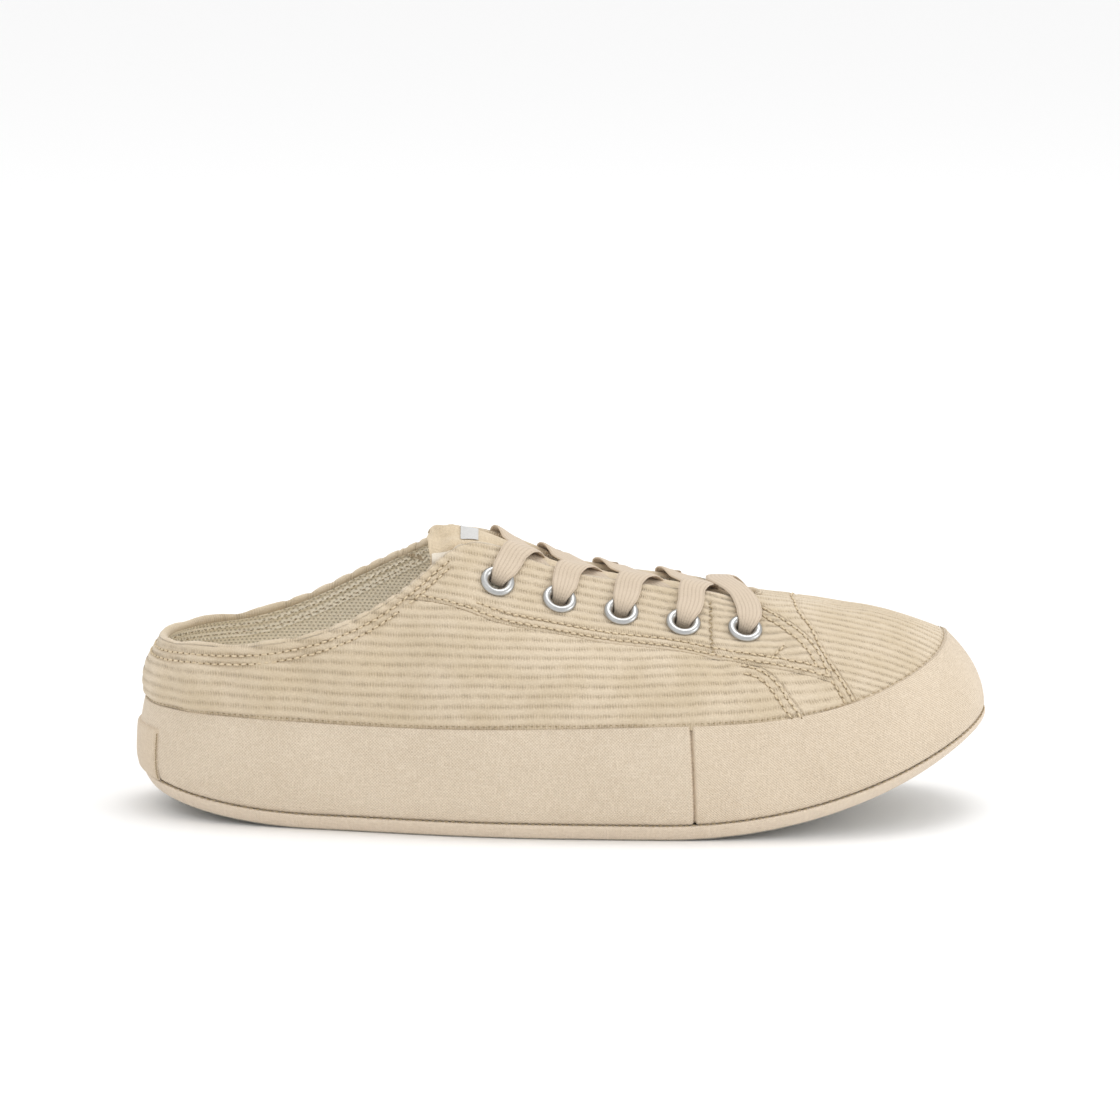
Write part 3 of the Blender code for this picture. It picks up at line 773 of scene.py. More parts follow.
def blend(tree, share, *colors):
    """A mix of two colours by a share."""
    made = tree.nodes.new("ShaderNodeMix")
    made.data_type = "RGBA"
    feed(tree, made.inputs[MIX_SHARE], share)
    for place, color in zip(MIX_COLORS, colors):
        feed(tree, made.inputs[place], color)
    return made.outputs[MIX_RESULT]


def add_noise(tree, scale, places):
    """Smooth noise at a scale, over a vector or over a list of distances."""
    made = tree.nodes.new("ShaderNodeTexNoise")
    feed(tree, made.inputs["Scale"], scale)
    if isinstance(places, list):
        joined = tree.nodes.new("ShaderNodeCombineXYZ")
        for socket, value in zip(joined.inputs, places):
            feed(tree, socket, value)
        places = joined.outputs[0]
    feed(tree, made.inputs["Vector"], places)
    return made


def new_group(name, inputs, outputs):
    """An empty node group with named number inputs and outputs."""
    tree = bpy.data.node_groups.new(name, "ShaderNodeTree")
    for label, value in inputs:
        socket = tree.interface.new_socket(label, in_out="INPUT", socket_type="NodeSocketFloat")
        socket.default_value = value
    for label in outputs:
        tree.interface.new_socket(label, in_out="OUTPUT", socket_type="NodeSocketFloat")
    start = tree.nodes.new("NodeGroupInput").outputs
    end = tree.nodes.new("NodeGroupOutput").inputs
    return tree, start, end


# %% The ribbed pile group
RUNG_SHIFT = 0.37
RUNG_NOISE = 0.35
RUNG_STRAY = 0.8
# The noise from and to which the rungs grow, and how strong they are there.
RUNG_STRENGTH = (0.30, 0.60, 0.35, 1.0)


def make_pile_group():
    """Grooves between wales, with the rungs of ground cloth that show in them."""
    inputs = (("Along", 0), ("Across", 0), ("Wale", 3.18), ("Groove", 1.35), ("Rung", 0.84))
    tree, start, end = new_group("ribbed pile", inputs, ("Groove", "Rung", "Pile"))
    wales = sum_of(tree, "DIVIDE", start["Across"], start["Wale"])
    phase = sum_of(tree, "FRACT", wales)
    other = sum_of(tree, "SUBTRACT", 1, phase)
    from_groove = sum_of(tree, "MULTIPLY", sum_of(tree, "MINIMUM", phase, other), start["Wale"])
    groove = between(tree, from_groove, 0, start["Groove"], 1, 0)
    shifted = sum_of(tree, "MULTIPLY", sum_of(tree, "ROUND", wales), RUNG_SHIFT)
    rungs = sum_of(tree, "ADD", sum_of(tree, "DIVIDE", start["Along"], start["Rung"]), shifted)
    noise = add_noise(tree, RUNG_NOISE, [start["Along"], start["Across"]]).outputs["Fac"]
    uneven = sum_of(tree, "MULTIPLY_ADD", noise, RUNG_STRAY, rungs)
    wave = sum_of(tree, "SINE", sum_of(tree, "MULTIPLY", uneven, 2 * math.pi))
    strength = between(tree, noise, *RUNG_STRENGTH)
    rung = sum_of(tree, "MULTIPLY", sum_of(tree, "MULTIPLY_ADD", wave, 0.5, 0.5), strength)
    feed(tree, end["Groove"], groove)
    feed(tree, end["Rung"], sum_of(tree, "MULTIPLY", rung, groove))
    feed(tree, end["Pile"], sum_of(tree, "SUBTRACT", 1, groove))
    return tree


# A slub is a thick place in a thread: long along it and narrow across.
SLUB_SHARES = (0.22, 1.5)
SLUB_EDGES = (0.42, 0.72)


def make_weave_group():
    """Threads over and under: plain weave at a twill of 0, diagonal lines at 1."""
    inputs = (("Along", 0), ("Across", 0), ("Thread", 0.5), ("Twill", 0))
    tree, start, end = new_group("woven threads", inputs, ("Thread", "Height", "Slub"))
    turns = []
    for label in ("Along", "Across"):
        share = sum_of(tree, "DIVIDE", start[label], start["Thread"])
        turns.append(sum_of(tree, "MULTIPLY", share, 2 * math.pi))
    plain = sum_of(tree, "MULTIPLY", *[sum_of(tree, "SINE", turn) for turn in turns])
    slanted = sum_of(tree, "SINE", sum_of(tree, "ADD", *turns))
    plain = sum_of(tree, "MULTIPLY", plain, sum_of(tree, "SUBTRACT", 1, start["Twill"]))
    slanted = sum_of(tree, "MULTIPLY", slanted, start["Twill"])
    height = sum_of(tree, "MULTIPLY_ADD", sum_of(tree, "ADD", plain, slanted), 0.5, 0.5)
    feed(tree, end["Height"], height)
    feed(tree, end["Thread"], between(tree, height, 0.1, 0.9))
    slubs = []
    for shares in (SLUB_SHARES, SLUB_SHARES[::-1]):
        places = [
            sum_of(tree, "MULTIPLY", start[label], share)
            for label, share in zip(("Along", "Across"), shares)
        ]
        slubs.append(between(tree, add_noise(tree, 1, places).outputs["Fac"], *SLUB_EDGES))
    feed(tree, end["Slub"], sum_of(tree, "MAXIMUM", *slubs))
    return tree


# The height of a row of knitting, as a share of a cell's width.
KNIT_ROW = 0.8


def make_knit_group():
    """A knitted mesh: staggered rows of small holes."""
    inputs = (("Along", 0), ("Across", 0), ("Cell", 1.45), ("Hole", 0.34))
    tree, start, end = new_group("knitted mesh", inputs, ("Hole", "Height"))
    tall = sum_of(tree, "MULTIPLY", start["Cell"], KNIT_ROW)
    rows = sum_of(tree, "DIVIDE", start["Across"], tall)
    shift = sum_of(tree, "MULTIPLY", sum_of(tree, "FLOOR", rows), 0.5)
    cells = sum_of(tree, "ADD", sum_of(tree, "DIVIDE", start["Along"], start["Cell"]), shift)
    squares = []
    for count in (cells, rows):
        away = sum_of(tree, "SUBTRACT", sum_of(tree, "FRACT", count), 0.5)
        squares.append(sum_of(tree, "MULTIPLY", away, away))
    away = sum_of(tree, "SQRT", sum_of(tree, "ADD", *squares))
    hole = between(tree, away, sum_of(tree, "MULTIPLY", start["Hole"], 0.5), start["Hole"], 1, 0)
    feed(tree, end["Hole"], hole)
    feed(tree, end["Height"], sum_of(tree, "SUBTRACT", 1, hole))
    return tree


MOTTLE_EDGES = (0.3, 0.7)


def make_mottle_group():
    """Soft patches, a fine fuzz and fibres, from the place on the shoe."""
    inputs = (("Patch", 12.0), ("Fuzz", 0.5))
    tree, start, end = new_group("dyed cloth mottling", inputs, ("Patches", "Fuzz"))
    place = tree.nodes.new("ShaderNodeTexCoord").outputs["Object"]
    for size, label, detail in (("Patch", "Patches", 3), ("Fuzz", "Fuzz", 2)):
        noise = add_noise(tree, sum_of(tree, "DIVIDE", 1 / MM, start[size]), place)
        feed(tree, noise.inputs["Detail"], detail)
        feed(tree, end[label], between(tree, noise.outputs["Fac"], *MOTTLE_EDGES))
    return tree


PILE = make_pile_group()
WEAVE = make_weave_group()
KNIT = make_knit_group()
MOTTLE = make_mottle_group()
print("node groups:", [tree.name for tree in bpy.data.node_groups])

# %% Starting a material


SHEEN_ROUGHNESS = 0.45


def new_material(name, roughness, metallic=0.0, sheen=0.0):
    """A material with a plain shader, and its tree."""
    material = bpy.data.materials.new(name)
    material.use_nodes = True
    tree = material.node_tree
    shader = tree.nodes["Principled BSDF"]
    shader.inputs["Roughness"].default_value = roughness
    shader.inputs["Metallic"].default_value = metallic
    shader.inputs["Sheen Weight"].default_value = sheen
    shader.inputs["Sheen Roughness"].default_value = SHEEN_ROUGHNESS
    return material, tree, shader


def place_group(tree, group, **values):
    """A group in a material, with its own values by input name."""
    made = tree.nodes.new("ShaderNodeGroup")
    made.node_tree = group
    for label, value in values.items():
        feed(tree, made.inputs[label], value)
    return made.outputs


def cloth_coordinates(tree):
    """The distances along and across the cloth, in millimetres."""
    layer = tree.nodes.new("ShaderNodeUVMap")
    layer.uv_map = "cloth"
    split = tree.nodes.new("ShaderNodeSeparateXYZ")
    tree.links.new(layer.outputs["UV"], split.inputs[0])
    return split.outputs["X"], split.outputs["Y"]


def add_bumps(tree, shader, *layers):
    """Bumps on top of each other, each a height and its depth in metres."""
    normal = None
    for height, depth in layers:
        made = tree.nodes.new("ShaderNodeBump")
        made.inputs["Strength"].default_value = 1
        made.inputs["Distance"].default_value = depth
        feed(tree, made.inputs["Height"], height)
        feed(tree, made.inputs["Normal"], normal)
        normal = made.outputs["Normal"]
    feed(tree, shader.inputs["Normal"], normal)


# %% Corduroy


def make_corduroy(name, pile_color, light_color, groove_shade_and_fuzz_color):
    """Ribbed cotton: pale crowns, grooves with rungs darkened by cloth tone and painted shade, a
    little fuzz.
    """
    material, tree, shader = new_material(name, 0.95, sheen=0.25)
    along, across = cloth_coordinates(tree)
    pile = place_group(tree, PILE, Along=along, Across=across)
    mottle = place_group(tree, MOTTLE, Patch=14.0, Fuzz=0.45)
    color = blend(tree, mottle["Patches"], pile_color, light_color)
    fuzzy = sum_of(tree, "MULTIPLY", mottle["Fuzz"], 0.26)
    color = blend(tree, fuzzy, color, groove_shade_and_fuzz_color)
    # Painted shade: the grooves and their rungs are blended towards the groove colour, partly for
    # the ground cloth's own tone and partly for the shade that falls in the grooves.
    shade = weighed(tree, (pile["Groove"], 0.05), (pile["Rung"], 0.56))
    color = blend(tree, shade, color, groove_shade_and_fuzz_color)
    feed(tree, shader.inputs["Base Color"], color)
    add_bumps(tree, shader, (pile["Rung"], -0.20 * MM), (mottle["Fuzz"], 0.10 * MM))
    return material


# How much painted shade darkens the gaps between canvas threads.
GAP_SHADE = 0.42


def make_canvas(name, color, dark, thread, twill, patch=20.0):
    """Woven cotton over foam: the threads show as fine grain, with painted shade in the gaps
    between them.
    """
    material, tree, shader = new_material(name, 0.9, sheen=0.15)
    along, across = cloth_coordinates(tree)
    weave = place_group(tree, WEAVE, Along=along, Across=across, Thread=thread, Twill=twill)
    mottle = place_group(tree, MOTTLE, Patch=patch, Fuzz=0.6)
    # The dark colour is painted shade in the gaps between threads, and it is also used for darker
    # fuzz and patches at random. Slubs are lighter.
    masks = (
        (weave["Thread"], -GAP_SHADE),
        (mottle["Fuzz"], 0.22),
        (mottle["Patches"], 0.10),
        (weave["Slub"], -0.20),
    )
    shade = weighed(tree, *masks, start=GAP_SHADE)
    feed(tree, shader.inputs["Base Color"], blend(tree, shade, color, dark))
    bumps = ((weave["Height"], 0.09 * MM), (weave["Slub"], 0.10 * MM), (mottle["Fuzz"], 0.05 * MM))
    add_bumps(tree, shader, *bumps)
    return material


def make_knit(name, color, hole_shade_and_fuzz_color):
    """The lining: a knitted mesh whose holes show the foam behind it, painted darker as the shade
    in them.
    """
    material, tree, shader = new_material(name, 0.95, sheen=0.2)
    along, across = cloth_coordinates(tree)
    knit = place_group(tree, KNIT, Along=along, Across=across)
    mottle = place_group(tree, MOTTLE, Patch=15.0, Fuzz=0.5)
    # Painted shade: the holes are blended towards the darker hole colour for the shade in them.
    # The fuzz darkens towards it too.
    shade = weighed(tree, (knit["Hole"], 0.62), (mottle["Fuzz"], 0.2))
    feed(tree, shader.inputs["Base Color"], blend(tree, shade, color, hole_shade_and_fuzz_color))
    add_bumps(tree, shader, (knit["Height"], 0.25 * MM))
    return material


def make_plain(name, color, dark, roughness, fuzz=0.5, metallic=0.0, depth=0.03):
    """A finish with only its mottling: thread, rubber, metal or a smooth cloth."""
    material, tree, shader = new_material(name, roughness, metallic)
    mottle = place_group(tree, MOTTLE, Patch=9.0, Fuzz=fuzz)
    shade = weighed(tree, (mottle["Fuzz"], 0.5), (mottle["Patches"], 0.3))
    feed(tree, shader.inputs["Base Color"], blend(tree, shade, color, dark))
    add_bumps(tree, shader, (mottle["Fuzz"], depth * MM))
    return material


# The third colour of the corduroy is for its grooves: partly the ground cloth's own tone, partly
# painted shade. The fuzz darkens towards it too.
CORDUROY = make_corduroy("corduroy", (208, 191, 164), (218, 202, 178), (168, 148, 117))
# The second colour of each canvas is painted shade for the gaps between threads, and it is also
# used for the darker mottling.
CANVAS = make_canvas("canvas", (220, 205, 184), (176, 157, 132), 1.0, 0.0)
TWILL = make_canvas("canvas_twill", (222, 206, 184), (180, 161, 135), 0.85, 1.0)
TAPE = make_canvas("canvas_tape", (228, 212, 192), (194, 176, 152), 0.6, 0.0)
# The lining's second colour is painted shade in the knit's holes, and it is also used for darker
# fuzz.
LINING = make_knit("lining_knit", (250, 241, 222), (184, 171, 145))
THREAD = make_plain("thread", (224, 207, 178), (198, 179, 146), 0.8)
SEAM_THREAD = make_plain("seam_thread", (174, 156, 124), (146, 128, 98), 0.8)
RUBBER = make_plain("outsole_rubber", (176, 170, 158), (140, 134, 122), 0.8)
METAL = make_plain(
    "satin_metal", (186, 186, 184), (168, 168, 167), 0.32, metallic=1.0, depth=0.0
)
print("materials:", len(bpy.data.materials))

# %% [markdown]
# ## The quarters
#
# The two quarters wrap the back of the foot and meet at the heel. Their wales run level, side
# by side with the sole, so the grid is laid the same way: each row of points keeps one height
# up the cloth. Rows that would pass the panel's edge stop on it, which gives a clean edge
# with no trimming. At the collar the cloth rolls over the edge to the lining.

# %% Eyelet places
EYELET_FIRST = 0.420
EYELET_PITCH = 0.0196
EYELET_FROM_THROAT = 0.0140
EYELET_DROPS = (1.00, 0.96, 1.02, 1.18, 1.36)
EYELET_RADIUS = 0.0055
# Cloth this close to an eyelet's middle is left out.
EYELET_CLEARANCE = 0.0039


def place_below_topline(x, drop, inner):
    """The place that lies a distance below the topline, at x."""
    turns = np.linspace(0.3, 0.98, 300)
    sides = 2 - turns if inner else turns
    shares = shares_below_topline(sides, drop)
    turn = np.interp(x, upper_point(sides, shares)[:, 0], turns)
    turn = 2 - turn if inner else turn
    return turn, float(shares_below_topline(np.array([turn]), drop)[0])


def row_x(row):
    return (EYELET_FIRST - 0.5) * LENGTH + EYELET_PITCH * row


def eyelet_places(inner):
    places = []
    for row, drop in enumerate(EYELET_DROPS):
        places.append(place_below_topline(row_x(row), EYELET_FROM_THROAT * drop, inner))
    return places


EYELETS = {"lateral": eyelet_places(False), "medial": eyelet_places(True)}
places = np.array(EYELETS["lateral"])
print("outer eyelets show at", to_photo(upper_point(*places.T)).round().tolist())
EYELET_POINTS = np.concatenate(
    [upper_point(*np.array(EYELETS[side]).T) for side in ("lateral", "medial")]
)


def over_eyelets(points):
    """The squares of a grid that would close an eyelet's hole."""
    middles = (points[:-1, :-1] + points[1:, 1:]) / 2
    return nearest(middles, EYELET_POINTS) < EYELET_CLEARANCE


# %% The rolled edge at the collar and throat
ROLL_RADIUS = UPPER_WALL / 2
ROLL_DROP = 0.6 * MM
ROLL_ANGLES = np.radians(np.arange(15, 196, 20))
ROLL_STEP = 0.02


def roll_over(turns, shares, lift):
    """Rows of points that take the cloth over its upper edge to its inner side."""
    turns, shares = turns[:, None], shares[:, None]
    outward = upper_normal(turns, shares)
    up = unit(upper_point(turns, shares) - upper_point(turns, shares - ROLL_STEP))
    middle = upper_point(turns, shares) - outward * ROLL_RADIUS - up * ROLL_DROP
    radius = ROLL_RADIUS + lift[:, None] * np.cos(ROLL_ANGLES / 2) ** 2
    radius = radius + (lift - lift.mean())[:, None] * np.sin(ROLL_ANGLES)
    angles = ROLL_ANGLES[:, None]
    return middle + (outward * np.cos(angles) + up * np.sin(angles)) * radius[..., None]


# %% The layers of cloth, from the lowest up
CAP_LIFT = -0.75 * MM
VAMP_LIFT = -0.45 * MM
QUARTER_LIFT = -0.10 * MM
STAY_LIFT = 0.28 * MM

# %% Stitch lines
STITCH_PITCH = 2.45 * MM
ROW_GAP = 2.7 * MM


def beside(line, distance):
    """A line on the upper at a distance to the left of another, seen from outside."""
    line = np.asarray(line)
    points = upper_point(*line.T)
    normals = upper_normal(*line.T)
    ahead = unit(np.gradient(points, axis=0))
    sideways = np.cross(normals, ahead) * distance
    on = (upper_point(line[:, 0] + UPPER_STEP, line[:, 1]) - points) / UPPER_STEP
    up = (upper_point(line[:, 0], line[:, 1] + UPPER_STEP) - points) / UPPER_STEP
    moves = []
    for step, across, along in zip(sideways, on, up):
        moves.append(np.linalg.lstsq(np.stack([across, along], -1), step, rcond=None)[0])
    return line + np.array(moves)


def below_collar(distance, first=0.0, last=TOPLINE_TOP - 0.012, count=160):
    turns = np.linspace(first, last, count)
    return pair(turns, shares_below_topline(turns, distance))


STAY_TOP_END = 0.775
stay_start = stay_edge[0, 0]
stay_front = np.linspace(stay_edge[-1], (STAY_TOP_END, 1.0), 80)
front_line = smooth_line(on_upper(QUARTER_FRONT_EDGE), 120)
half_cap = cap_seam[:201]
COLLAR_ROWS = (3.0 * MM, 5.7 * MM)
FIRST_ROW = 1.3 * MM
SECOND_ROW = FIRST_ROW + ROW_GAP
STITCH_ROWS = {
    "collar_upper": (below_collar(COLLAR_ROWS[0], last=stay_start), QUARTER_LIFT),
    "collar_lower": (below_collar(COLLAR_ROWS[1], last=stay_start), QUARTER_LIFT),
    "stay_collar_upper": (below_collar(COLLAR_ROWS[0], first=stay_start), STAY_LIFT),
    "stay_collar_lower": (below_collar(COLLAR_ROWS[1], first=stay_start + 0.01), STAY_LIFT),
    "stay_first": (beside(stay_edge, FIRST_ROW)[10:], STAY_LIFT),
    "stay_second": (beside(stay_edge, SECOND_ROW)[34:], STAY_LIFT),
    "stay_front_first": (beside(stay_front, FIRST_ROW)[4:-4], STAY_LIFT),
    "stay_front_second": (beside(stay_front, SECOND_ROW)[10:-4], STAY_LIFT),
    "cap_first": (beside(half_cap, FIRST_ROW)[2:], VAMP_LIFT),
    "cap_second": (beside(half_cap, SECOND_ROW)[2:80], VAMP_LIFT),
    "quarter_first": (beside(front_line, -FIRST_ROW)[8:], QUARTER_LIFT),
    "quarter_second": (beside(front_line, -SECOND_ROW)[14:], QUARTER_LIFT),
    "bar_tack": (smooth_line(on_upper(BAR_TACK), 20), STAY_LIFT),
    "side_seam": (smooth_line(on_upper(SIDE_SEAM), 60), STAY_LIFT),
}
print("stitch rows:", list(STITCH_ROWS))

# %% Where the cloth is pressed flat, and where it creases
SEAM_POINTS = np.concatenate(
    [upper_point(*one.T) for line, _ in STITCH_ROWS.values() for one in (line, mirrored(line))]
)
STITCH_DIP = 0.35 * MM
STITCH_DIP_WIDTH = 0.9 * MM
PILE_PRESSED = 0.7
PUCKER_HEIGHT = 0.20 * MM
PUCKER_WIDTH = 2.2 * MM
PUCKER_RUNS = ((2.5, 0.9, 1.7), (-1.6, 2.9, 1.1), (1.9, -1.3, -2.6))
FOOT_DRAW = 0.40 * MM
FOOT_DRAW_HEIGHT = 0.9 * MM
# Soft dents and swells of worn cloth: the middle's turn and share, how far each reaches, and
# its depth in millimetres, which is below zero for a swell.
CREASES = (
    ("turn", "share", "turn_reach", "share_reach", "depth"),
    (0.120, 0.45, 0.022, 0.50, 1.0),
    (0.165, 0.40, 0.020, 0.45, -0.7),
    (0.215, 0.55, 0.016, 0.40, 1.1),
    (0.255, 0.45, 0.018, 0.35, -0.8),
    (0.292, 0.55, 0.013, 0.35, 1.1),
    (0.335, 0.45, 0.020, 0.30, -0.8),
    (0.372, 0.50, 0.014, 0.30, 0.9),
    (0.410, 0.55, 0.020, 0.22, -0.5),
    (0.455, 0.30, 0.016, 0.22, 0.7),
    (0.500, 0.25, 0.020, 0.20, -0.5),
    (0.552, 0.28, 0.014, 0.20, 0.6),
    (0.600, 0.22, 0.014, 0.20, -0.5),
    (0.625, 0.26, 0.007, 0.30, 0.6),
    (0.475, 0.72, 0.018, 0.10, 0.5),
    (0.530, 0.74, 0.016, 0.10, 0.5),
    (0.590, 0.72, 0.016, 0.10, 0.5),
    (0.652, 0.66, 0.014, 0.10, 0.6),
    (0.700, 0.55, 0.016, 0.10, 0.6),
    (0.820, 0.40, 0.060, 0.10, 0.4),
    (0.930, 0.62, 0.050, 0.06, 0.5),
    (1.080, 0.55, 0.060, 0.07, 0.4),
)


def crease_depth(turn, share):
    """How far the soft dents take the cloth in, on both sides of the shoe."""
    turn = np.asarray(turn, float) % 2
    depth = 0
    for row in CREASES[1:]:
        middle_turn, middle_share, turn_reach, share_reach, deep = row
        for middle in (middle_turn, 2 - middle_turn):
            along = (turn - middle) / turn_reach
            up = (share - middle_share) / share_reach
            depth = depth + deep * MM * np.exp(-(along**2) - up**2)
    return depth


def cloth_lift(turn, share, across, base):
    """How far a panel's face stands off the form: pile, seams and creases together."""
    points = upper_point(turn, share)
    away = nearest(points, SEAM_POINTS, reach=FAR / 2)
    pressed = bump(away, STITCH_DIP_WIDTH)
    lift = base + wale_height(across) * (1 - PILE_PRESSED * pressed) - STITCH_DIP * pressed
    lift = lift + PUCKER_HEIGHT * ripple(points) * bump(away, PUCKER_WIDTH)
    lift = lift - FOOT_DRAW * bump(climb_at(turn, np.maximum(share, 0)), FOOT_DRAW_HEIGHT)
    return lift - crease_depth(turn, share)


def ripple(points):
    """An uneven ripple from -1 to 1, as fine as the puckers between stitches."""
    wave = 0
    for run in PUCKER_RUNS:
        wave = wave + np.sin(points @ np.array(run) / MM + 2 * wave)
    return wave / len(PUCKER_RUNS)


# %% What lies under another panel
COVERED_DROP = 0.70 * MM


def inside(outline_places, turn, share):
    """Where a place lies inside a closed outline of places: the even-odd rule."""
    within = np.zeros(np.broadcast(turn, share).shape, bool)
    for (t0, s0), (t1, s1) in zip(outline_places, np.roll(outline_places, -1, axis=0)):
        if s0 != s1:
            crosses = (share < s0) != (share < s1)
            within ^= crosses & (turn < t0 + (share - s0) / (s1 - s0) * (t1 - t0))
    return within


def folded(turn):
    """The turn on the outer side that mirrors a turn on either side."""
    around = np.mod(turn, 2)
    return np.minimum(around, 2 - around)


# %% A corduroy panel


def add_corduroy(name, turns, shares, along, across, base, **options):
    """A panel over a grid of places, with an edge that rolls over where it is asked to."""
    turns, shares = np.broadcast_arrays(turns, shares)
    across = across + waver(along, across)
    lift = cloth_lift(turns, shares, across, base)
    if "edge" in options:
        floor = base - COVERED_DROP
        lift = floor + (lift - floor) * options["edge"]
    if "covered" in options:
        lift = np.where(options["covered"], base - COVERED_DROP, lift)
    points = upper_point(turns, shares) + upper_normal(turns, shares) * lift[..., None]
    cloth = pair(along, across)
    flip = options.get("flip", False)
    drop = over_eyelets(points) if options.get("pierced") else None
    if options.get("roll"):
        rolled = roll_over(turns[:, -1], shares[:, -1], lift[:, -1])
        points = np.concatenate([points, rolled], axis=1)
        extra = np.repeat(cloth[:, -1:], rolled.shape[1], axis=1)
        cloth = np.concatenate([cloth, extra], axis=1)
        if drop is not None:
            drop = np.pad(drop, ((0, 0), (0, rolled.shape[1])))
    return add_cloth(name, points, cloth, CORDUROY, flip, drop)


# %% The outline of a stay
stay_outline = np.concatenate(
    [stay_edge, [(STAY_TOP_END, 1.0), (stay_start, 1.001), (stay_start, 1.0)]]
)

# %% The quarters' grid
QUARTER_COLUMN = 0.8 * MM
QUARTER_ROW = WALE / 9
SKIRT = -0.03
# How much of the quarter goes on under the stay, and how wide its front edge rounds down.
QUARTER_LAP = 0.05
QUARTER_ROUND = 1.0 * MM
EDGE_REACH = 3 * MM
QUARTER_FINE = 2000
AROUND = np.linspace(0, 2, 1601)


def quarter_top(turns):
    """The highest share of the quarter: the collar, then under the stay, then its front."""
    shares = np.ones_like(turns)
    under = (turns >= stay_start) & (turns < front_line[0, 0])
    shares[under] = np.interp(turns[under], *stay_edge.T) + QUARTER_LAP
    shares = np.minimum(shares, 1)
    ahead = turns >= front_line[0, 0]
    shares[ahead] = np.interp(turns[ahead], *front_line.T)
    return shares


def foot_run(turns):
    """The distance round the shoe at the feather line, from the heel."""
    return np.interp(turns, AROUND, run_along(feather(AROUND)))


def make_quarter(side):
    """One quarter, from the heel seam to its front edge over the vamp."""
    inner = side == "medial"
    fine = np.linspace(0, front_line[-1, 0], QUARTER_FINE)
    turns = spaced(foot_run(fine), fine, QUARTER_COLUMN)
    sides = 2 - turns if inner else turns
    tops = quarter_top(turns)
    top_climb = climb_at(sides, tops)
    levels = np.arange(0, top_climb.max() + QUARTER_ROW, QUARTER_ROW)
    heights = np.minimum(levels[None, :], top_climb[:, None])
    shares = shares_at(sides, heights)
    shares = np.where(heights >= top_climb[:, None], tops[:, None], shares)
    along = foot_run(sides)[:, None]
    across = climb_at(sides[:, None], shares)
    shares = np.concatenate([np.full_like(shares[:, :1], SKIRT), shares], axis=1)
    across = np.concatenate([across[:, :1], across], axis=1)
    front = upper_point(*(mirrored(front_line) if inner else front_line).T)
    away = nearest(upper_point(sides[:, None], shares), front, reach=EDGE_REACH)
    return add_corduroy(
        f"quarter_{side}",
        sides[:, None],
        shares,
        along,
        across,
        QUARTER_LIFT,
        edge=rounded(away, QUARTER_ROUND),
        covered=inside(stay_outline, folded(sides)[:, None], shares),
        flip=inner,
        roll=True,
    )


quarters = [make_quarter(side) for side in ("lateral", "medial")]

# %% [markdown]
# ## Vamp and toe cap
#
# In front the wales run from the throat towards the toe, and the cap is joined to the vamp in
# one curved seam. Both panels are ruled: each line of points runs from a place on the seam
# straight to the place on the far edge that lies as far out to the side, which is just how
# the wales of a flat piece of cloth lie when it is lasted over the toe.

# %% Toe cap
CAP_ROWS = 420
CAP_COLUMNS = 75
CAP_LAP = 0.05
CAP_FINE = 3000


def even_places(line, count):
    """Places at even distances on a line, and those distances."""
    run = run_along(upper_point(*line.T))
    at = np.linspace(0, run[-1], count)
    return read_off(at, run, line), at


def ruled(low, high, columns, first=0.0):
    """Places on straight rulings from each place of one line to its partner on another."""
    share = np.linspace(first, 1, columns)[None, :]
    turns = low[:, :1] * (1 - share) + high[:, :1] * share
    shares = low[:, 1:] * (1 - share) + high[:, 1:] * share
    return turns, shares


def make_toe_cap():
    """The cap, from its seam down to the sole."""
    seam, at = even_places(cap_seam, CAP_ROWS)
    fine = np.linspace(seam[0, 0], seam[-1, 0], CAP_FINE)
    out = np.maximum.accumulate(feather(fine)[:, 1])
    foot_turns = np.interp(upper_point(*seam.T)[:, 1], out, fine)
    turns, shares = ruled(seam, pair(foot_turns, 0), CAP_COLUMNS, first=-CAP_LAP)
    covered = np.linspace(-CAP_LAP, 1, CAP_COLUMNS + 1)[None, :] < -CAP_LAP / 3
    covered = np.broadcast_to(covered, (CAP_ROWS, CAP_COLUMNS + 1))
    turns = np.concatenate([turns, turns[:, -1:]], axis=1)
    shares = np.concatenate([np.maximum(shares, 0), np.full_like(shares[:, :1], SKIRT)], axis=1)
    across = np.broadcast_to((at - at[-1] / 2)[:, None] + WALE / 2, turns.shape)
    along = run_along(upper_point(turns, shares))
    add_corduroy("toe_cap", turns, shares, along, across, CAP_LIFT, covered=covered)


make_toe_cap()

# %% Vamp
VAMP_BACK = ((0.655, 0.0), (0.645, 0.30), (0.690, 0.72), (0.760, 1.0), (1.0, 1.0))
VAMP_ROWS = 420
VAMP_COLUMNS = 60
VAMP_PHASE = 1.1 * MM
VAMP_ROUND = 0.9 * MM
VAMP_FINE = 2000


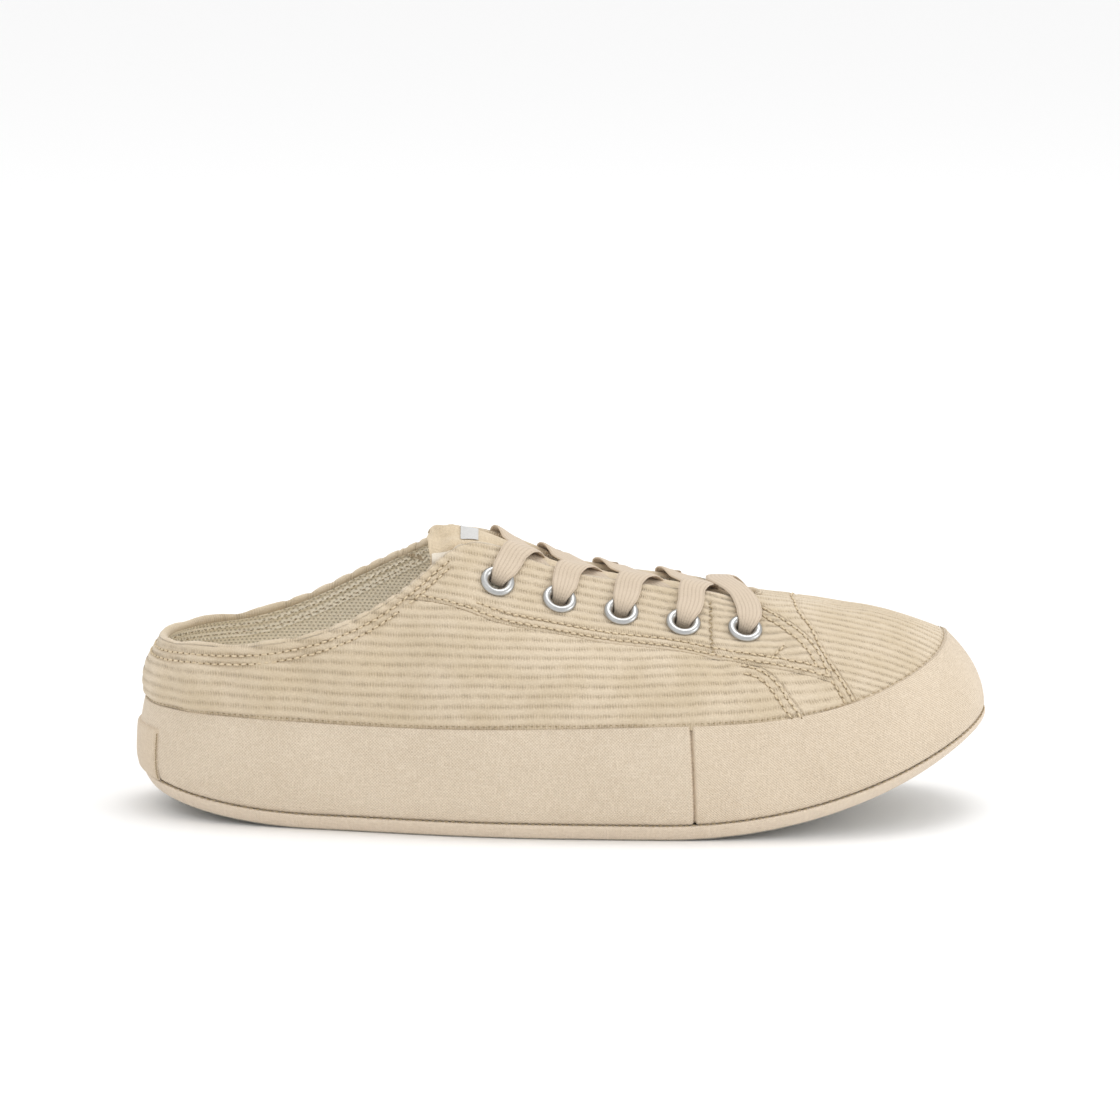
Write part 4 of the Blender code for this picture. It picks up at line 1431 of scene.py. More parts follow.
def make_vamp():
    """The strip of vamp between the throat, the quarters and the toe cap."""
    seam, at = even_places(cap_seam, VAMP_ROWS)
    half = np.array(VAMP_BACK)
    back = np.concatenate([half, mirrored(half)[-2::-1]])
    corners = np.arange(len(back))
    fine = read_off(np.linspace(0, len(back) - 1, VAMP_FINE), corners, back)
    reach = np.maximum.accumulate(upper_point(*fine.T)[:, 1])
    wanted = upper_point(*seam.T)[:, 1]
    wanted = np.where(wanted < 0, wanted / wanted.min() * reach[0], wanted)
    wanted = np.where(wanted > 0, wanted / wanted.max() * reach[-1], wanted)
    turns, shares = ruled(seam, read_off(wanted, reach, fine), VAMP_COLUMNS)
    shares = np.clip(shares, 0, 1)
    turns = np.concatenate([turns[:1], turns, turns[-1:]])
    skirt = np.full_like(shares[:1], SKIRT)
    shares = np.concatenate([skirt, shares, skirt])
    at = np.concatenate([at[:1], at, at[-1:]])
    across = np.broadcast_to((at - at[-2] / 2)[:, None] + VAMP_PHASE, turns.shape)
    along = run_along(upper_point(turns, shares))
    outer = folded(turns)
    behind = outer < np.interp(shares, front_line[::-1, 1], front_line[::-1, 0], right=0)
    covered = inside(stay_outline, outer, shares) | behind
    add_corduroy(
        "vamp",
        turns,
        shares,
        along,
        across,
        VAMP_LIFT,
        edge=np.minimum(along / VAMP_ROUND, 1) ** 0.5,
        covered=covered,
        flip=True,
        roll=True,
    )


make_vamp()

# %% [markdown]
# ## Stays
#
# The stays carry the eyelets. They lie over quarter and vamp, so they stand off by the
# thickness of the cloth under them, and their edges round down to it. Their wales follow the
# slope of the throat.

# %% The stays
STAY_COLUMNS = 260
STAY_ROWS = 80
STAY_SLOPE = math.tan(math.radians(8))
STAY_EDGE_ROUND = 1.9 * MM
RIM_TRIM = 1.1 * MM
TRIM_FADE = 0.05
STAY_FINE = 800


def make_stay(side):
    """One stay, from its lower edge up to the collar and the throat."""
    inner = side == "medial"
    low = even_places(stay_edge, STAY_COLUMNS)[0]
    fine = np.linspace(stay_start, STAY_TOP_END, STAY_FINE)
    rim_run = run_along(topline(fine))
    high_turns = np.interp(np.linspace(0, rim_run[-1], STAY_COLUMNS), rim_run, fine)
    trim = RIM_TRIM * smooth_step(high_turns, TOPLINE_TOP, TOPLINE_TOP + TRIM_FADE)
    high = pair(high_turns, shares_below_topline(high_turns, trim))
    turns, shares = ruled(low, high, STAY_ROWS)
    open_edge = np.concatenate([low, pair(turns[-1], shares[-1])])
    if inner:
        turns = 2 - turns
        open_edge = mirrored(open_edge)
    points = upper_point(turns, shares)
    away = nearest(points, upper_point(*open_edge.T), reach=EDGE_REACH)
    add_corduroy(
        f"stay_{side}",
        turns,
        shares,
        foot_run(turns),
        climb_at(turns, shares) + STAY_SLOPE * points[..., 0],
        STAY_LIFT,
        edge=rounded(away, STAY_EDGE_ROUND),
        flip=inner,
        roll=True,
        pierced=True,
    )


for side in ("lateral", "medial"):
    make_stay(side)
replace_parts(quarters[0], "upper")

# %% [markdown]
# ## The sole
#
# The thick sole is foam in a wrap of canvas, made of two pieces that meet in an upright seam
# on each side. Below it a canvas tape runs round the edge of the thin rubber outsole, and a
# row of stitches sits in the deep line between them. The wrap's face is the solid's own wall
# with its top edge rounded and its seams drawn in, so that it reads as a stuffed shape.

# %% The sole's profile
OUTSOLE_NODE = "outsole"
WRAP_FOOT = OUTSOLE_THICKNESS + 0.2 * MM
RIM_ROUND = 0.6 * MM
RIM_WIDTH = 4.0 * MM
SEAM_DEPTH = 0.65 * MM
SEAM_WIDTH = 0.9 * MM
JOIN_ALONG = 0.651
JOIN_DEPTH = 1.5 * MM
JOIN_WIDTH = 0.50 * MM
JOIN_STEPS = np.array([0.0, 0.3, 0.6, 1.0, 1.5]) * MM
JOIN_LEAN = 0.0047
JOIN_LEAN_REACH = 15 * MM
WRAP_COLUMN = 1.0 * MM
WALL_ROWS = 46
WALL_STEP = 0.5 * MM
WALL_SWELL = 0.35 * MM
SOLE_FINE = 2400
OUTLINE_FINE = 6401
RIM_ANGLES = np.radians(np.arange(12, 91, 13))
RIM_TURN_DOWN = 6 * MM


def wall_normal(turn, height):
    up = wall_point(turn, height + WALL_STEP) - wall_point(turn, height - WALL_STEP)
    on = wall_point(turn + SOLE_STEP, height) - wall_point(turn - SOLE_STEP, height)
    return unit(np.cross(on, up))


def even_turns(first, last, spacing):
    """Turns at even distances round the sole."""
    fine = np.linspace(first, last, SOLE_FINE)
    return spaced(run_along(outline(fine)), fine, spacing)


def outline_run(turns):
    """The distance round the sole's outline, from the toe."""
    fine = np.linspace(-1, 3, OUTLINE_FINE)
    return np.interp(turns, fine, run_along(outline(fine)))


JOIN_TURN = float(turn_of(JOIN_ALONG))
JOIN_RUNS = outline_run(np.array([-JOIN_TURN, JOIN_TURN, 2 - JOIN_TURN]))


def make_wrap(name, first, last, material):
    """One piece of the canvas wrap, up the wall and over its rim."""
    turns = even_turns(first, last, WRAP_COLUMN)
    runs = outline_run(turns)
    runs = np.union1d(runs, np.concatenate([runs[0] + JOIN_STEPS, runs[-1] - JOIN_STEPS]))
    turns = np.interp(runs, outline_run(turns), turns)
    column = turns[:, None]
    full = wall_height(turns)[:, None]
    heights = WRAP_FOOT + (full - RIM_ROUND - WRAP_FOOT) * np.linspace(0, 1, WALL_ROWS)[None]
    from_join = np.abs(outline_run(turns)[:, None] - JOIN_RUNS[None]).min(1)
    towards_heel = np.where(turns % 2 < 1, -1, 1)
    lean = (JOIN_LEAN * towards_heel * bump(from_join, JOIN_LEAN_REACH))[:, None]
    columns = column + lean * heights / full
    column = column + lean
    wall = wall_point(columns, heights)
    outward = wall_normal(columns, heights)
    join = (JOIN_DEPTH * bump(from_join, JOIN_WIDTH))[:, None]
    drawn_in = SEAM_DEPTH * bump(heights - WRAP_FOOT, SEAM_WIDTH) + join
    swell = WALL_SWELL * np.sin(math.pi * (heights - WRAP_FOOT) / (full - WRAP_FOOT))
    wall = wall + outward * (swell - drawn_in)[..., None]
    top = wall_point(column, full - RIM_ROUND)
    outward = wall_normal(column, full - RIM_ROUND)
    middle = top - outward * (RIM_ROUND + join[..., None])
    angles = RIM_ANGLES[None, :, None]
    rim = middle + (outward * np.cos(angles) + UPRIGHT * np.sin(angles)) * RIM_ROUND
    over = rim[:, -1:] + inward(column) * (RIM_WIDTH - RIM_ROUND)
    down = over - UPRIGHT * RIM_TURN_DOWN
    points = np.concatenate([wall, rim, over, down], axis=1)
    cloth = pair(outline_run(turns)[:, None], run_along(points))
    return add_cloth(name, points, cloth, material)


wrap_rear = make_wrap("sole_wrap_rear", -JOIN_TURN, JOIN_TURN, CANVAS)
make_wrap("sole_wrap_front", JOIN_TURN, 2 - JOIN_TURN, TWILL)
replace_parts(wrap_rear, "midsole")

# The outsole keeps its solid, because its shape is right, and only gets its finish.
for slot in bpy.data.objects[OUTSOLE_NODE].material_slots:
    slot.material = RUBBER

# %% The tape round the outsole
TAPE_FOOT = 0.5 * MM
TAPE_TOP = OUTSOLE_THICKNESS + 0.15 * MM
TAPE_LAP = 2 * MM
TAPE_SWELL = 0.40 * MM
TAPE_COVER = 0.12 * MM
TAPE_ROWS = 14


def make_tape():
    """The canvas tape over the outsole's edge."""
    turns = even_turns(0, 2, WRAP_COLUMN)
    share = np.linspace(0, 1, TAPE_ROWS)[None]
    heights = TAPE_FOOT + (TAPE_TOP - TAPE_FOOT) * share
    columns = np.broadcast_to(turns[:, None], (len(turns), TAPE_ROWS))
    heights = np.broadcast_to(heights, columns.shape)
    swell = TAPE_SWELL * np.sqrt(np.clip(1 - (2 * share - 1) ** 4, 0, 1)) + TAPE_COVER
    points = wall_point(columns, heights)
    points = points + wall_normal(columns, heights) * swell[..., None]
    inner = points[:, -1:] + inward(columns[:, -1:]) * TAPE_LAP
    points = np.concatenate([points, inner], axis=1)
    up_run = np.concatenate([heights, heights[:, -1:] + TAPE_LAP], axis=1)
    cloth = pair(outline_run(turns)[:, None], up_run)
    add_cloth("sole_tape", points, cloth, TAPE)


make_tape()

# %% Lining and footbed
LINING_DEPTH = UPPER_WALL + 0.05 * MM
BINDING_WIDTH = 7.0 * MM
BINDING_STEP = 0.45 * MM
LINING_COLUMN = 1.2 * MM
LINING_ROWS = 96
# Below 1, the rows lie closer together towards the collar.
LINING_CROWDING = 0.8
BINDING_EDGE = 0.3 * MM
BINDING_GROOVE = 0.5 * MM
# Further down the lining lies deeper by this much, over these distances below the collar.
LOWER_DEPTH = 0.35 * MM
LOWER_FADE = (12 * MM, 22 * MM)
RIDGE_HEIGHT = 0.30 * MM
RIDGE_PITCH = 2.4 * MM


def make_lining():
    """The knitted lining, with the band of tape that finishes its upper edge."""
    turns = spaced(foot_run(AROUND), AROUND, LINING_COLUMN)
    full = climb_at(turns, 1.0)[:, None]
    heights = np.linspace(0, 1, LINING_ROWS)[None] ** LINING_CROWDING * (full - BINDING_EDGE)
    shares = shares_at(turns, heights)
    columns = np.broadcast_to(turns[:, None], shares.shape)
    down = full - heights
    band = smooth_step(BINDING_WIDTH - down, -BINDING_EDGE, BINDING_EDGE)
    depth = LINING_DEPTH - BINDING_STEP * band
    depth = depth + BINDING_GROOVE * bump(down - BINDING_WIDTH, BINDING_GROOVE)
    depth = depth - RIDGE_HEIGHT * np.cos(2 * math.pi * down / RIDGE_PITCH) * band
    depth = depth + LOWER_DEPTH * smooth_step(down, *LOWER_FADE)
    points = upper_point(columns, shares) - upper_normal(columns, shares) * depth[..., None]
    cloth = pair(foot_run(turns)[:, None], heights)
    add_cloth("lining", points, cloth, LINING, flip=True)


make_lining()
BED_EDGE = 5.2 * MM
BED_RISE = 4.3 * MM
BED_ROWS = 44
BED_EDGE_LIFT = 0.9 * MM
BED_DISH = 1.6 * MM


def bed_edge(turn):
    point = feather(turn) + inward(turn) * BED_EDGE
    point[..., 2] = underside(turn) + SOLE_HEIGHT * BED_HEIGHT(share_along(turn)) + BED_RISE
    return point


def make_footbed():
    """A padded footbed, a little dished, from the outer edge to the inner one."""
    turns = np.linspace(0.01, 0.99, 150)
    left, right = bed_edge(turns)[:, None], bed_edge(2 - turns)[:, None]
    across = np.linspace(0, 1, BED_ROWS)[None, :, None]
    points = left * (1 - across) + right * across
    edge = 1 - (2 * across[..., 0] - 1) ** 2
    points[..., 2] += BED_EDGE_LIFT * np.clip(edge * 6, 0, 1) ** 0.5 - BED_DISH * edge
    return add_cloth("footbed", points, points[..., :2], LINING, flip=True)


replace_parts(make_footbed(), "insole")

# %% [markdown]
# ## Eyelets
#
# An eyelet is a metal tube with a rolled flange, pressed through the cloth. Turning one
# profile round an axis makes it, and each of the ten stands square to the upper where it sits.

# %% Turned eyelets
EYELET_STEPS = 40
EYELET_SEAT = 0.75 * MM
# Each step of the profile: a share of the radius, and a height in millimetres.
EYELET_PROFILE = (
    (1.00, 0.00),
    (1.00, 0.35),
    (0.95, 0.75),
    (0.87, 1.02),
    (0.77, 1.10),
    (0.67, 0.98),
    (0.58, 0.68),
    (0.52, 0.25),
    (0.49, -0.40),
    (0.49, -3.60),
    (0.56, -3.60),
    (0.56, -0.30),
    (0.90, -0.15),
)


def standing(turn, share):
    """The point, the directions round and up the shoe, and the outward normal at a place."""
    point = upper_point(turn, share)
    out = upper_normal(turn, share)
    side = unit(np.cross(out, ahead_on_upper(turn, share)))
    return point, np.cross(side, out), side, out


def make_eyelet(side, number, place):
    """One eyelet ring, in place of the solid one."""
    point, on, up, out = standing(*place)
    point = point + out * EYELET_SEAT
    angles = np.linspace(0, 2 * math.pi, EYELET_STEPS + 1)[:, None, None]
    spokes = on * np.cos(angles) + up * np.sin(angles)
    profile = np.array(EYELET_PROFILE + EYELET_PROFILE[:1])
    radius = (profile[:, 0] * EYELET_RADIUS)[None, :, None]
    height = (profile[:, 1] * MM)[None, :, None]
    points = point + spokes * radius + out * height
    cloth = pair(angles[..., 0] * EYELET_RADIUS, height[..., 0])
    ring = add_cloth(f"eyelet_ring_{side}_{number}", points, cloth, METAL)
    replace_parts(ring, f"eyelet_{side}_{number}")


for side, places in EYELETS.items():
    for number, place in enumerate(places, start=1):
        make_eyelet(side, number, place)

# %% [markdown]
# ## Tongue
#
# The tongue is a padded cloth under the throat. It follows the inside of the upper under both
# stays, swells a little between them, and its free end is gathered into soft folds. A closed
# tube of points, wide and flat, gives it a real edge; the folds are waves that grow towards
# the end.

# %% The tongue's upper face
TONGUE_DEPTH = UPPER_WALL + 1.3 * MM
TONGUE_LAP = 13 * MM
TONGUE_OPEN = 0.45
TONGUE_CROWN = 2.2 * MM
TONGUE_THICKNESS = 4.5 * MM
TONGUE_END = 11.0 * MM
TONGUE_END_RISE = 3.6 * MM
END_CORNER = 0.9
TONGUE_COLUMNS = 49
TONGUE_ROWS = 110
# How far the free end keeps its full thickness before it tapers.
FULL_SHARE = 0.35
END_DROP = 1.5 * MM
END_JAG = 0.4 * MM
TONGUE_FOLDS = (4.3, 7.1)
TONGUE_TIP_TURN = 0.999
# In turns: how far the free end runs past the throat, and for standing up and for folding
# how far ahead of its top they start and over how much they grow.
PAST = 0.06
STANDING = (0.06, 0.09)
FOLDING = (0.03, 0.07)
# The free end stands up between the stays, within this share of its width.
FREE_SHARE = 0.75
FOLD_FAN = 1.6
FOLD_PHASE = 0.6
# Two waves of wrinkles: how fast each runs along and across the tongue.
WRINKLE_RUNS = (150, -70)
WRINKLE_SPREADS = (9, 15)
FOLD_HEIGHT = 0.75 * MM
WRINKLE_HEIGHT = 0.55 * MM


def edge_turn(x, inner):
    """The turn at which the throat's edge reaches x."""
    turns = np.linspace(TOPLINE_TOP, 1, 600)
    turn = float(np.interp(x, topline(turns)[:, 0], turns))
    return 2 - turn if inner else turn


def tongue_face(turns, across):
    """Points of the tongue's upper face. Across is -1 at its outer edge and 1 at its inner."""
    sides = []
    for mirror in (False, True):
        there = 2 - turns if mirror else turns
        lap = np.clip((np.abs(across) - TONGUE_OPEN) / (1 - TONGUE_OPEN), 0, 1) * TONGUE_LAP
        full = climb_at(there, 1.0)[:, None]
        shares = shares_at(there, np.maximum(full - lap[None, :], 0))
        columns = np.broadcast_to(there[:, None], shares.shape)
        sides.append(upper_point(columns, shares) - upper_normal(columns, shares) * TONGUE_DEPTH)
    share = np.clip(across / TONGUE_OPEN, -1, 1)[None, :, None] / 2 + 0.5
    middle = sides[0] * (1 - share) + sides[1] * share
    bow = TONGUE_CROWN * 4 * share * (1 - share)
    return middle + bow * np.array([0, 0, 1])


def tongue_top(first, last, rows, across):
    """A grid on the tongue's upper face, which runs on past the throat at its free end."""
    run = np.linspace(first, last, rows)
    turns = np.clip(run, TOPLINE_TOP, TONGUE_TIP_TURN)
    points = tongue_face(turns, across)
    run = run[:, None]
    past = np.clip((TOPLINE_TOP - run) / PAST, 0, 1)
    points[..., 0] -= past * TONGUE_END * (1 - END_CORNER * np.clip(across, 0, 1) ** 2)
    standing_up = smooth_step(TOPLINE_TOP + STANDING[0] - run, 0, STANDING[1])
    free = np.clip(1 - (across / FREE_SHARE) ** 2, 0, 1)
    points[..., 2] += TONGUE_END_RISE * standing_up * free - END_DROP * past**4
    near_end = smooth_step(TOPLINE_TOP + FOLDING[0] - run, 0, FOLDING[1])
    wave = np.sin(math.pi * TONGUE_FOLDS[0] * across + 2.0 * near_end + FOLD_PHASE)
    wave = wave + 0.5 * np.sin(math.pi * TONGUE_FOLDS[1] * across - 3.0 * near_end)
    wrinkles = np.sin(WRINKLE_RUNS[0] * run + WRINKLE_SPREADS[0] * across + 1.5 * wave)
    wrinkles = wrinkles + 0.6 * np.sin(WRINKLE_SPREADS[1] * across + WRINKLE_RUNS[1] * run)
    outward = unit(vector(0, FOLD_FAN * across, 1))
    points += outward * ((FOLD_HEIGHT * wave + WRINKLE_HEIGHT * wrinkles) * near_end)[..., None]
    points[..., 0] += END_JAG * wave * past
    return points, past


def make_tongue():
    """The padded tongue as one closed flat tube."""
    across = np.sin(np.linspace(-math.pi / 2, math.pi / 2, TONGUE_COLUMNS))
    top, past = tongue_top(TOPLINE_TOP - PAST, TONGUE_TIP_TURN, TONGUE_ROWS, across)
    on, side = np.gradient(top, axis=0), np.gradient(top, axis=1)
    down = unit(np.cross(side, on))
    down = down * np.sign(-down[..., 2:])
    thickness = TONGUE_THICKNESS * np.sqrt(np.clip(1 - np.abs(across) ** 4, 0, 1))[None]
    taper = np.clip(past * (1 + FULL_SHARE) - FULL_SHARE, 0, 1)
    end = np.sqrt(np.clip(1 - taper**2, 0, 1))
    bottom = top + down * (thickness * end)[..., None]
    points = np.concatenate([top, bottom[:, ::-1], top[:, :1]], axis=1)
    cloth = pair(points[..., 0], run_along(points))
    return add_cloth("tongue_pad", points, cloth, TONGUE_CLOTH)


# The second colour is painted shade for the gaps between threads, and it is also used for the
# darker mottling.
TONGUE_CLOTH = make_canvas(
    "tongue_cloth", (222, 204, 176), (178, 158, 126), 0.55, 0.0, patch=8.0
)
LABEL = make_plain("label_satin", (202, 201, 199), (184, 183, 181), 0.5)
BINDING = make_plain("tongue_binding_cotton", (226, 217, 202), (206, 195, 178), 0.8)
tongue_pad = make_tongue()
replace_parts(tongue_pad, "tongue")


# First and last turn, rows, and the places across.
LABEL_PLACE = (TOPLINE_TOP - 0.004, TOPLINE_TOP + 0.012, 12, np.linspace(-0.36, 0.36, 20))
BINDING_PLACE = (TOPLINE_TOP - 0.057, TOPLINE_TOP - 0.010, 40, np.linspace(-0.76, -0.56, 10))
LABEL_LIFT = 0.35 * MM
BINDING_LIFT = 0.25 * MM
BINDING_CROWN = 0.6 * MM


def make_label():
    """The blank woven label on the tongue's free end."""
    points = tongue_top(*LABEL_PLACE)[0] + UPRIGHT * LABEL_LIFT
    add_cloth("tongue_label", points, points[..., :2], LABEL)


def make_binding():
    """The pale tape folded over the tongue's outer edge, where it shows inside the collar."""
    points = tongue_top(*BINDING_PLACE)[0]
    crown = np.sin(np.linspace(0, math.pi, points.shape[1]))
    points[..., 1] -= BINDING_LIFT + BINDING_CROWN * crown
    add_cloth("tongue_binding", points, points[..., :2], BINDING)


make_label()
make_binding()

# %% [markdown]
# ## Laces
#
# One flat lace runs through all ten eyelets. It comes up through each hole, folds back over
# its stay, crosses the throat, dives under the other stay and comes up again one row further
# on; at the bottom it goes straight across. Its two ends are hidden under the top eyelets.
# The route is a list of points, each with the way the lace's face looks and its width there,
# because a flat lace bunches up in a round hole.

# %% The lace's route
LACE_WIDTH = 8.5 * MM
LACE_THICKNESS = 1.1 * MM
LACE_IN_HOLE = 4.7 * MM
LACE_OVER_STAY = 1.55 * MM
LACE_LEAN = {
    "lateral": (5.2 * MM, 2.6 * MM, 2.6 * MM, 2.6 * MM, -2.0 * MM),
    "medial": (1.6 * MM, -3.2 * MM, -4.6 * MM, -4.0 * MM, -5.0 * MM),
}
DIVE_BACK = (5.0 * MM, 6.0 * MM, 6.0 * MM, 8.5 * MM)
DIVE_DEPTH = UPPER_WALL + 1.2 * MM
BAR_BACK = 4.8 * MM
BAR_BOW = 2.6 * MM
FOLD_DISTANCE = 4.4 * MM
FOLD_LIFT = 2.45 * MM
FOLD_SPREAD = 0.85
LIE_SHARE = 0.70
# How far on its way to the next eyelet the hidden lace has its middle point, and its width.
UNDER_SHARE = 0.45
UNDER_WIDTH = LACE_WIDTH * 0.9
# Up through a hole: millimetres ahead and out, the face's parts ahead and out, and the spread.
IN_THE_HOLE = (
    (4.5, -4.0, 0, 1, 0.75),
    (0.9, -3.4, 1, 1, 0.60),
    (0.6, -1.2, 1, 0, 0.00),
    (1.0, 0.9, 1, -0.3, 0.08),
    (2.3, 2.2, 1, -1.6, 0.45),
)
# Over the throat: the shares of the way, and how high the lace arches there in millimetres,
# first for the laces that start at the outer side and lie on top, then for the others.
ARCH_SHARES = (0.22, 0.48, 0.76)
ARCHES = {"lateral": (1.9, 2.3, 1.0), "medial": (0.5, 1.0, 0.9)}


def stay_path(place, edge):
    """A function of the distance from an eyelet's middle on the way to the throat's edge."""
    share = np.linspace(0, 1, 60)
    rim = float(shares_below_topline(np.array([edge]), RIM_TRIM)[0])
    turns = place[0] + (edge - place[0]) * share
    shares = place[1] + (rim - place[1]) * share
    run = run_along(upper_point(turns, shares))

    def at(distance):
        turn, share = np.interp(distance, run, turns), np.interp(distance, run, shares)
        return upper_point(turn, share), upper_normal(turn, share)

    return at, run[-1]


def spread_width(spread):
    """The lace's width at a share between bunched up in the hole and quite flat."""
    return LACE_IN_HOLE + (LACE_WIDTH - LACE_IN_HOLE) * spread


def over_stay(place, edge):
    """The lace up through an eyelet and over its own stay to the throat's edge."""
    at, far = stay_path(place, edge)
    point, out = at(0)
    ahead = unit(at(1 * MM)[0] - point)
    route = []
    for forward, height, face_ahead, face_out, spread in IN_THE_HOLE:
        where = point + ahead * forward * MM + out * height * MM
        normal = unit(ahead * face_ahead + out * face_out)
        route.append((where, normal, spread_width(spread)))
    for distance, lift, spread in (
        (FOLD_DISTANCE, FOLD_LIFT, FOLD_SPREAD),
        (LIE_SHARE * far, LACE_OVER_STAY, 1),
        (far, LACE_OVER_STAY, 1),
    ):
        where, out = at(distance)
        route.append((where + out * lift, -out, spread_width(spread)))
    return route


def crossing(row, inner):
    """From one eyelet over its stay, across the throat and under the other stay."""
    side, other = ("medial", "lateral") if inner else ("lateral", "medial")
    place = EYELETS[side][row]
    edge = edge_turn(row_x(row) + LACE_LEAN[side][row], inner)
    far = edge_turn(row_x(row + 1) - DIVE_BACK[row], not inner)
    route = over_stay(place, edge)
    start = route[-1][0]
    far_out = upper_normal(far, 1.0)
    dive = upper_point(far, 1.0) - far_out * DIVE_DEPTH
    slope = topline(far + 0.01 * (1 if far < 1 else -1)) - topline(far)
    square = unit(np.array([-slope[2], 0, slope[0]]))
    for part, lift in zip(ARCH_SHARES, ARCHES[side]):
        where = start * (1 - part) + dive * part + square * lift * MM
        route.append((where, -square, LACE_WIDTH))
    target = EYELETS[other][row + 1]
    under = upper_point(*target)
    hidden = under - upper_normal(*target) * DIVE_DEPTH
    below = dive * (1 - UNDER_SHARE) + hidden * UNDER_SHARE
    route.append((dive, -unit(square + far_out), LACE_WIDTH))
    route.append((below, -upper_normal(*target), UNDER_WIDTH))
    return route


def bar():
    """Straight over the throat between the two lowest eyelets, bowed towards the ankle."""
    row = len(EYELET_DROPS) - 1
    left, right = [
        over_stay(EYELETS[side][row], edge_turn(row_x(row) + LACE_LEAN[side][row], inner))
        for side, inner in (("lateral", False), ("medial", True))
    ]
    middle = (left[-1][0] + right[-1][0]) / 2 + np.array([-BAR_BACK, 0, BAR_BOW])
    return left + [(middle, np.array([0.1, 0, -1.0]), LACE_WIDTH)] + right[::-1]


def lace_route():
    """The whole lace, from its hidden end at one top eyelet to the other."""
    last = len(EYELET_DROPS) - 2
    there = [crossing(row, row % 2 == 1) for row in range(last + 1)]
    back = [crossing(row, row % 2 == 0)[::-1] for row in range(last, -1, -1)]
    there[0] = there[0][2:]
    back[-1] = back[-1][:-2]
    route = []
    for part in there + [bar()] + back:
        if route and route[-1][1] @ part[0][1] < 0:
            part = [(where, -normal, width) for where, normal, width in part]
        route += part
    return route


# %% A flat lace along a route
LACE_RING = 20
LACE_STEP = 0.7 * MM
# Below 1 the section is squarer than an oval, across and through.
LACE_SQUARENESS = (0.55, 0.8)
BUNCHING = 0.7


def make_lace():
    """One flat woven lace, swept along its route."""
    route = lace_route()
    points, faces, widths = [np.array(values) for values in zip(*route)]
    run = run_along(points)
    at = np.linspace(0, run[-1], int(run[-1] / LACE_STEP))
    path = np.stack([spline(run, column)(at) for column in points.T], -1)
    face = read_off(at, run, faces)
    width = np.interp(at, run, widths)
    ahead = unit(np.gradient(path, axis=0))
    face = unit(face - ahead * (face * ahead).sum(-1, keepdims=True))
    side = np.cross(face, ahead)
    angles = np.linspace(0, 2 * math.pi, LACE_RING + 1)
    x = np.sign(np.cos(angles)) * np.abs(np.cos(angles)) ** LACE_SQUARENESS[0]
    z = np.sign(np.sin(angles)) * np.abs(np.sin(angles)) ** LACE_SQUARENESS[1]
    bunched = LACE_THICKNESS * (1 + BUNCHING * (1 - width / LACE_WIDTH))
    points = path[:, None] + side[:, None] * (x[None] * width[:, None] / 2)[..., None]
    rise = z[None] * bunched[:, None] / 2
    points = points + face[:, None] * rise[..., None]
    across = np.broadcast_to((x * LACE_WIDTH / 2)[None], points.shape[:2])
    cloth = np.stack([np.broadcast_to(at[:, None], across.shape), across], -1)
    print(f"the lace is {run[-1] / MM:.0f} mm long")
    return add_cloth("lace", points, cloth, LACE)


def make_braid_group():
    """Long ribs with slanted threads on each side of them, as on a flat woven lace."""
    inputs = (("Along", 0), ("Across", 0), ("Rib", 1.25), ("Thread", 0.9))
    tree, start, end = new_group("woven lace", inputs, ("Valley", "Height"))
    ribs = sum_of(tree, "DIVIDE", start["Across"], start["Rib"])
    phase = sum_of(tree, "SUBTRACT", sum_of(tree, "FRACT", ribs), 0.5)
    side = sum_of(tree, "ABSOLUTE", phase)
    valley = between(tree, side, 0.28, 0.5)
    along = sum_of(tree, "DIVIDE", start["Along"], start["Thread"])
    slanted = sum_of(tree, "SUBTRACT", along, sum_of(tree, "MULTIPLY", side, 1.2))
    wave = sum_of(tree, "SINE", sum_of(tree, "MULTIPLY", slanted, 2 * math.pi))
    height = sum_of(tree, "MULTIPLY_ADD", wave, 0.22, sum_of(tree, "SUBTRACT", 1, valley))
    feed(tree, end["Valley"], valley)
    feed(tree, end["Height"], height)
    return tree


def make_lace_material():
    """Flat woven cotton, a touch pinker than the canvas, with painted shade in the valleys between
    its ribs.
    """
    material, tree, shader = new_material("lace_cotton", 0.85, sheen=0.15)
    along, across = cloth_coordinates(tree)
    braid = place_group(tree, make_braid_group(), Along=along, Across=across)
    mottle = place_group(tree, MOTTLE, Patch=10.0, Fuzz=0.4)
    # Painted shade: the valleys between the ribs are blended towards the darker colour. The fuzz
    # darkens towards it too.
    shade = weighed(tree, (braid["Valley"], 0.24), (mottle["Fuzz"], 0.18))
    color = blend(tree, shade, (206, 189, 168), (166, 147, 122))
    feed(tree, shader.inputs["Base Color"], color)
    add_bumps(tree, shader, (braid["Height"], 0.10 * MM), (mottle["Fuzz"], 0.04 * MM))
    return material


LACE = make_lace_material()
lace = make_lace()
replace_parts(lace, *[f"lace_crossing_{row}" for row in range(1, 5)], "lace_bar")

# %% [markdown]
# ## Stitches
#
# Rows of stitches hold the panels, two side by side along most edges. Each stitch is a short
# bead of thread that dips into the cloth at both ends, where a small dark disc of painted shade
# stands for the needle hole. They are copied along the seam lines into one mesh a group.

# %% Beads along a line
STITCH_LENGTH = 1.75 * MM
STITCH_RADIUS = 0.30 * MM
STITCH_SIDES = 6
STITCH_STRAY = 0.10 * MM
STITCH_TURN = 0.14
STITCH_STRAY_STEP = 2.4
STITCH_TURN_STEP = 1.7
# Each ring of a bead: a share of half its length, and its size and rise as shares of its radius.
STITCH_PROFILE = (
    (-1.0, 0.3, -0.9),
    (-0.6, 0.9, 0.2),
    (0.0, 1.0, 0.5),
    (0.6, 0.9, 0.2),
    (1.0, 0.3, -0.9),
)
HOLE_RADIUS = 0.32 * MM
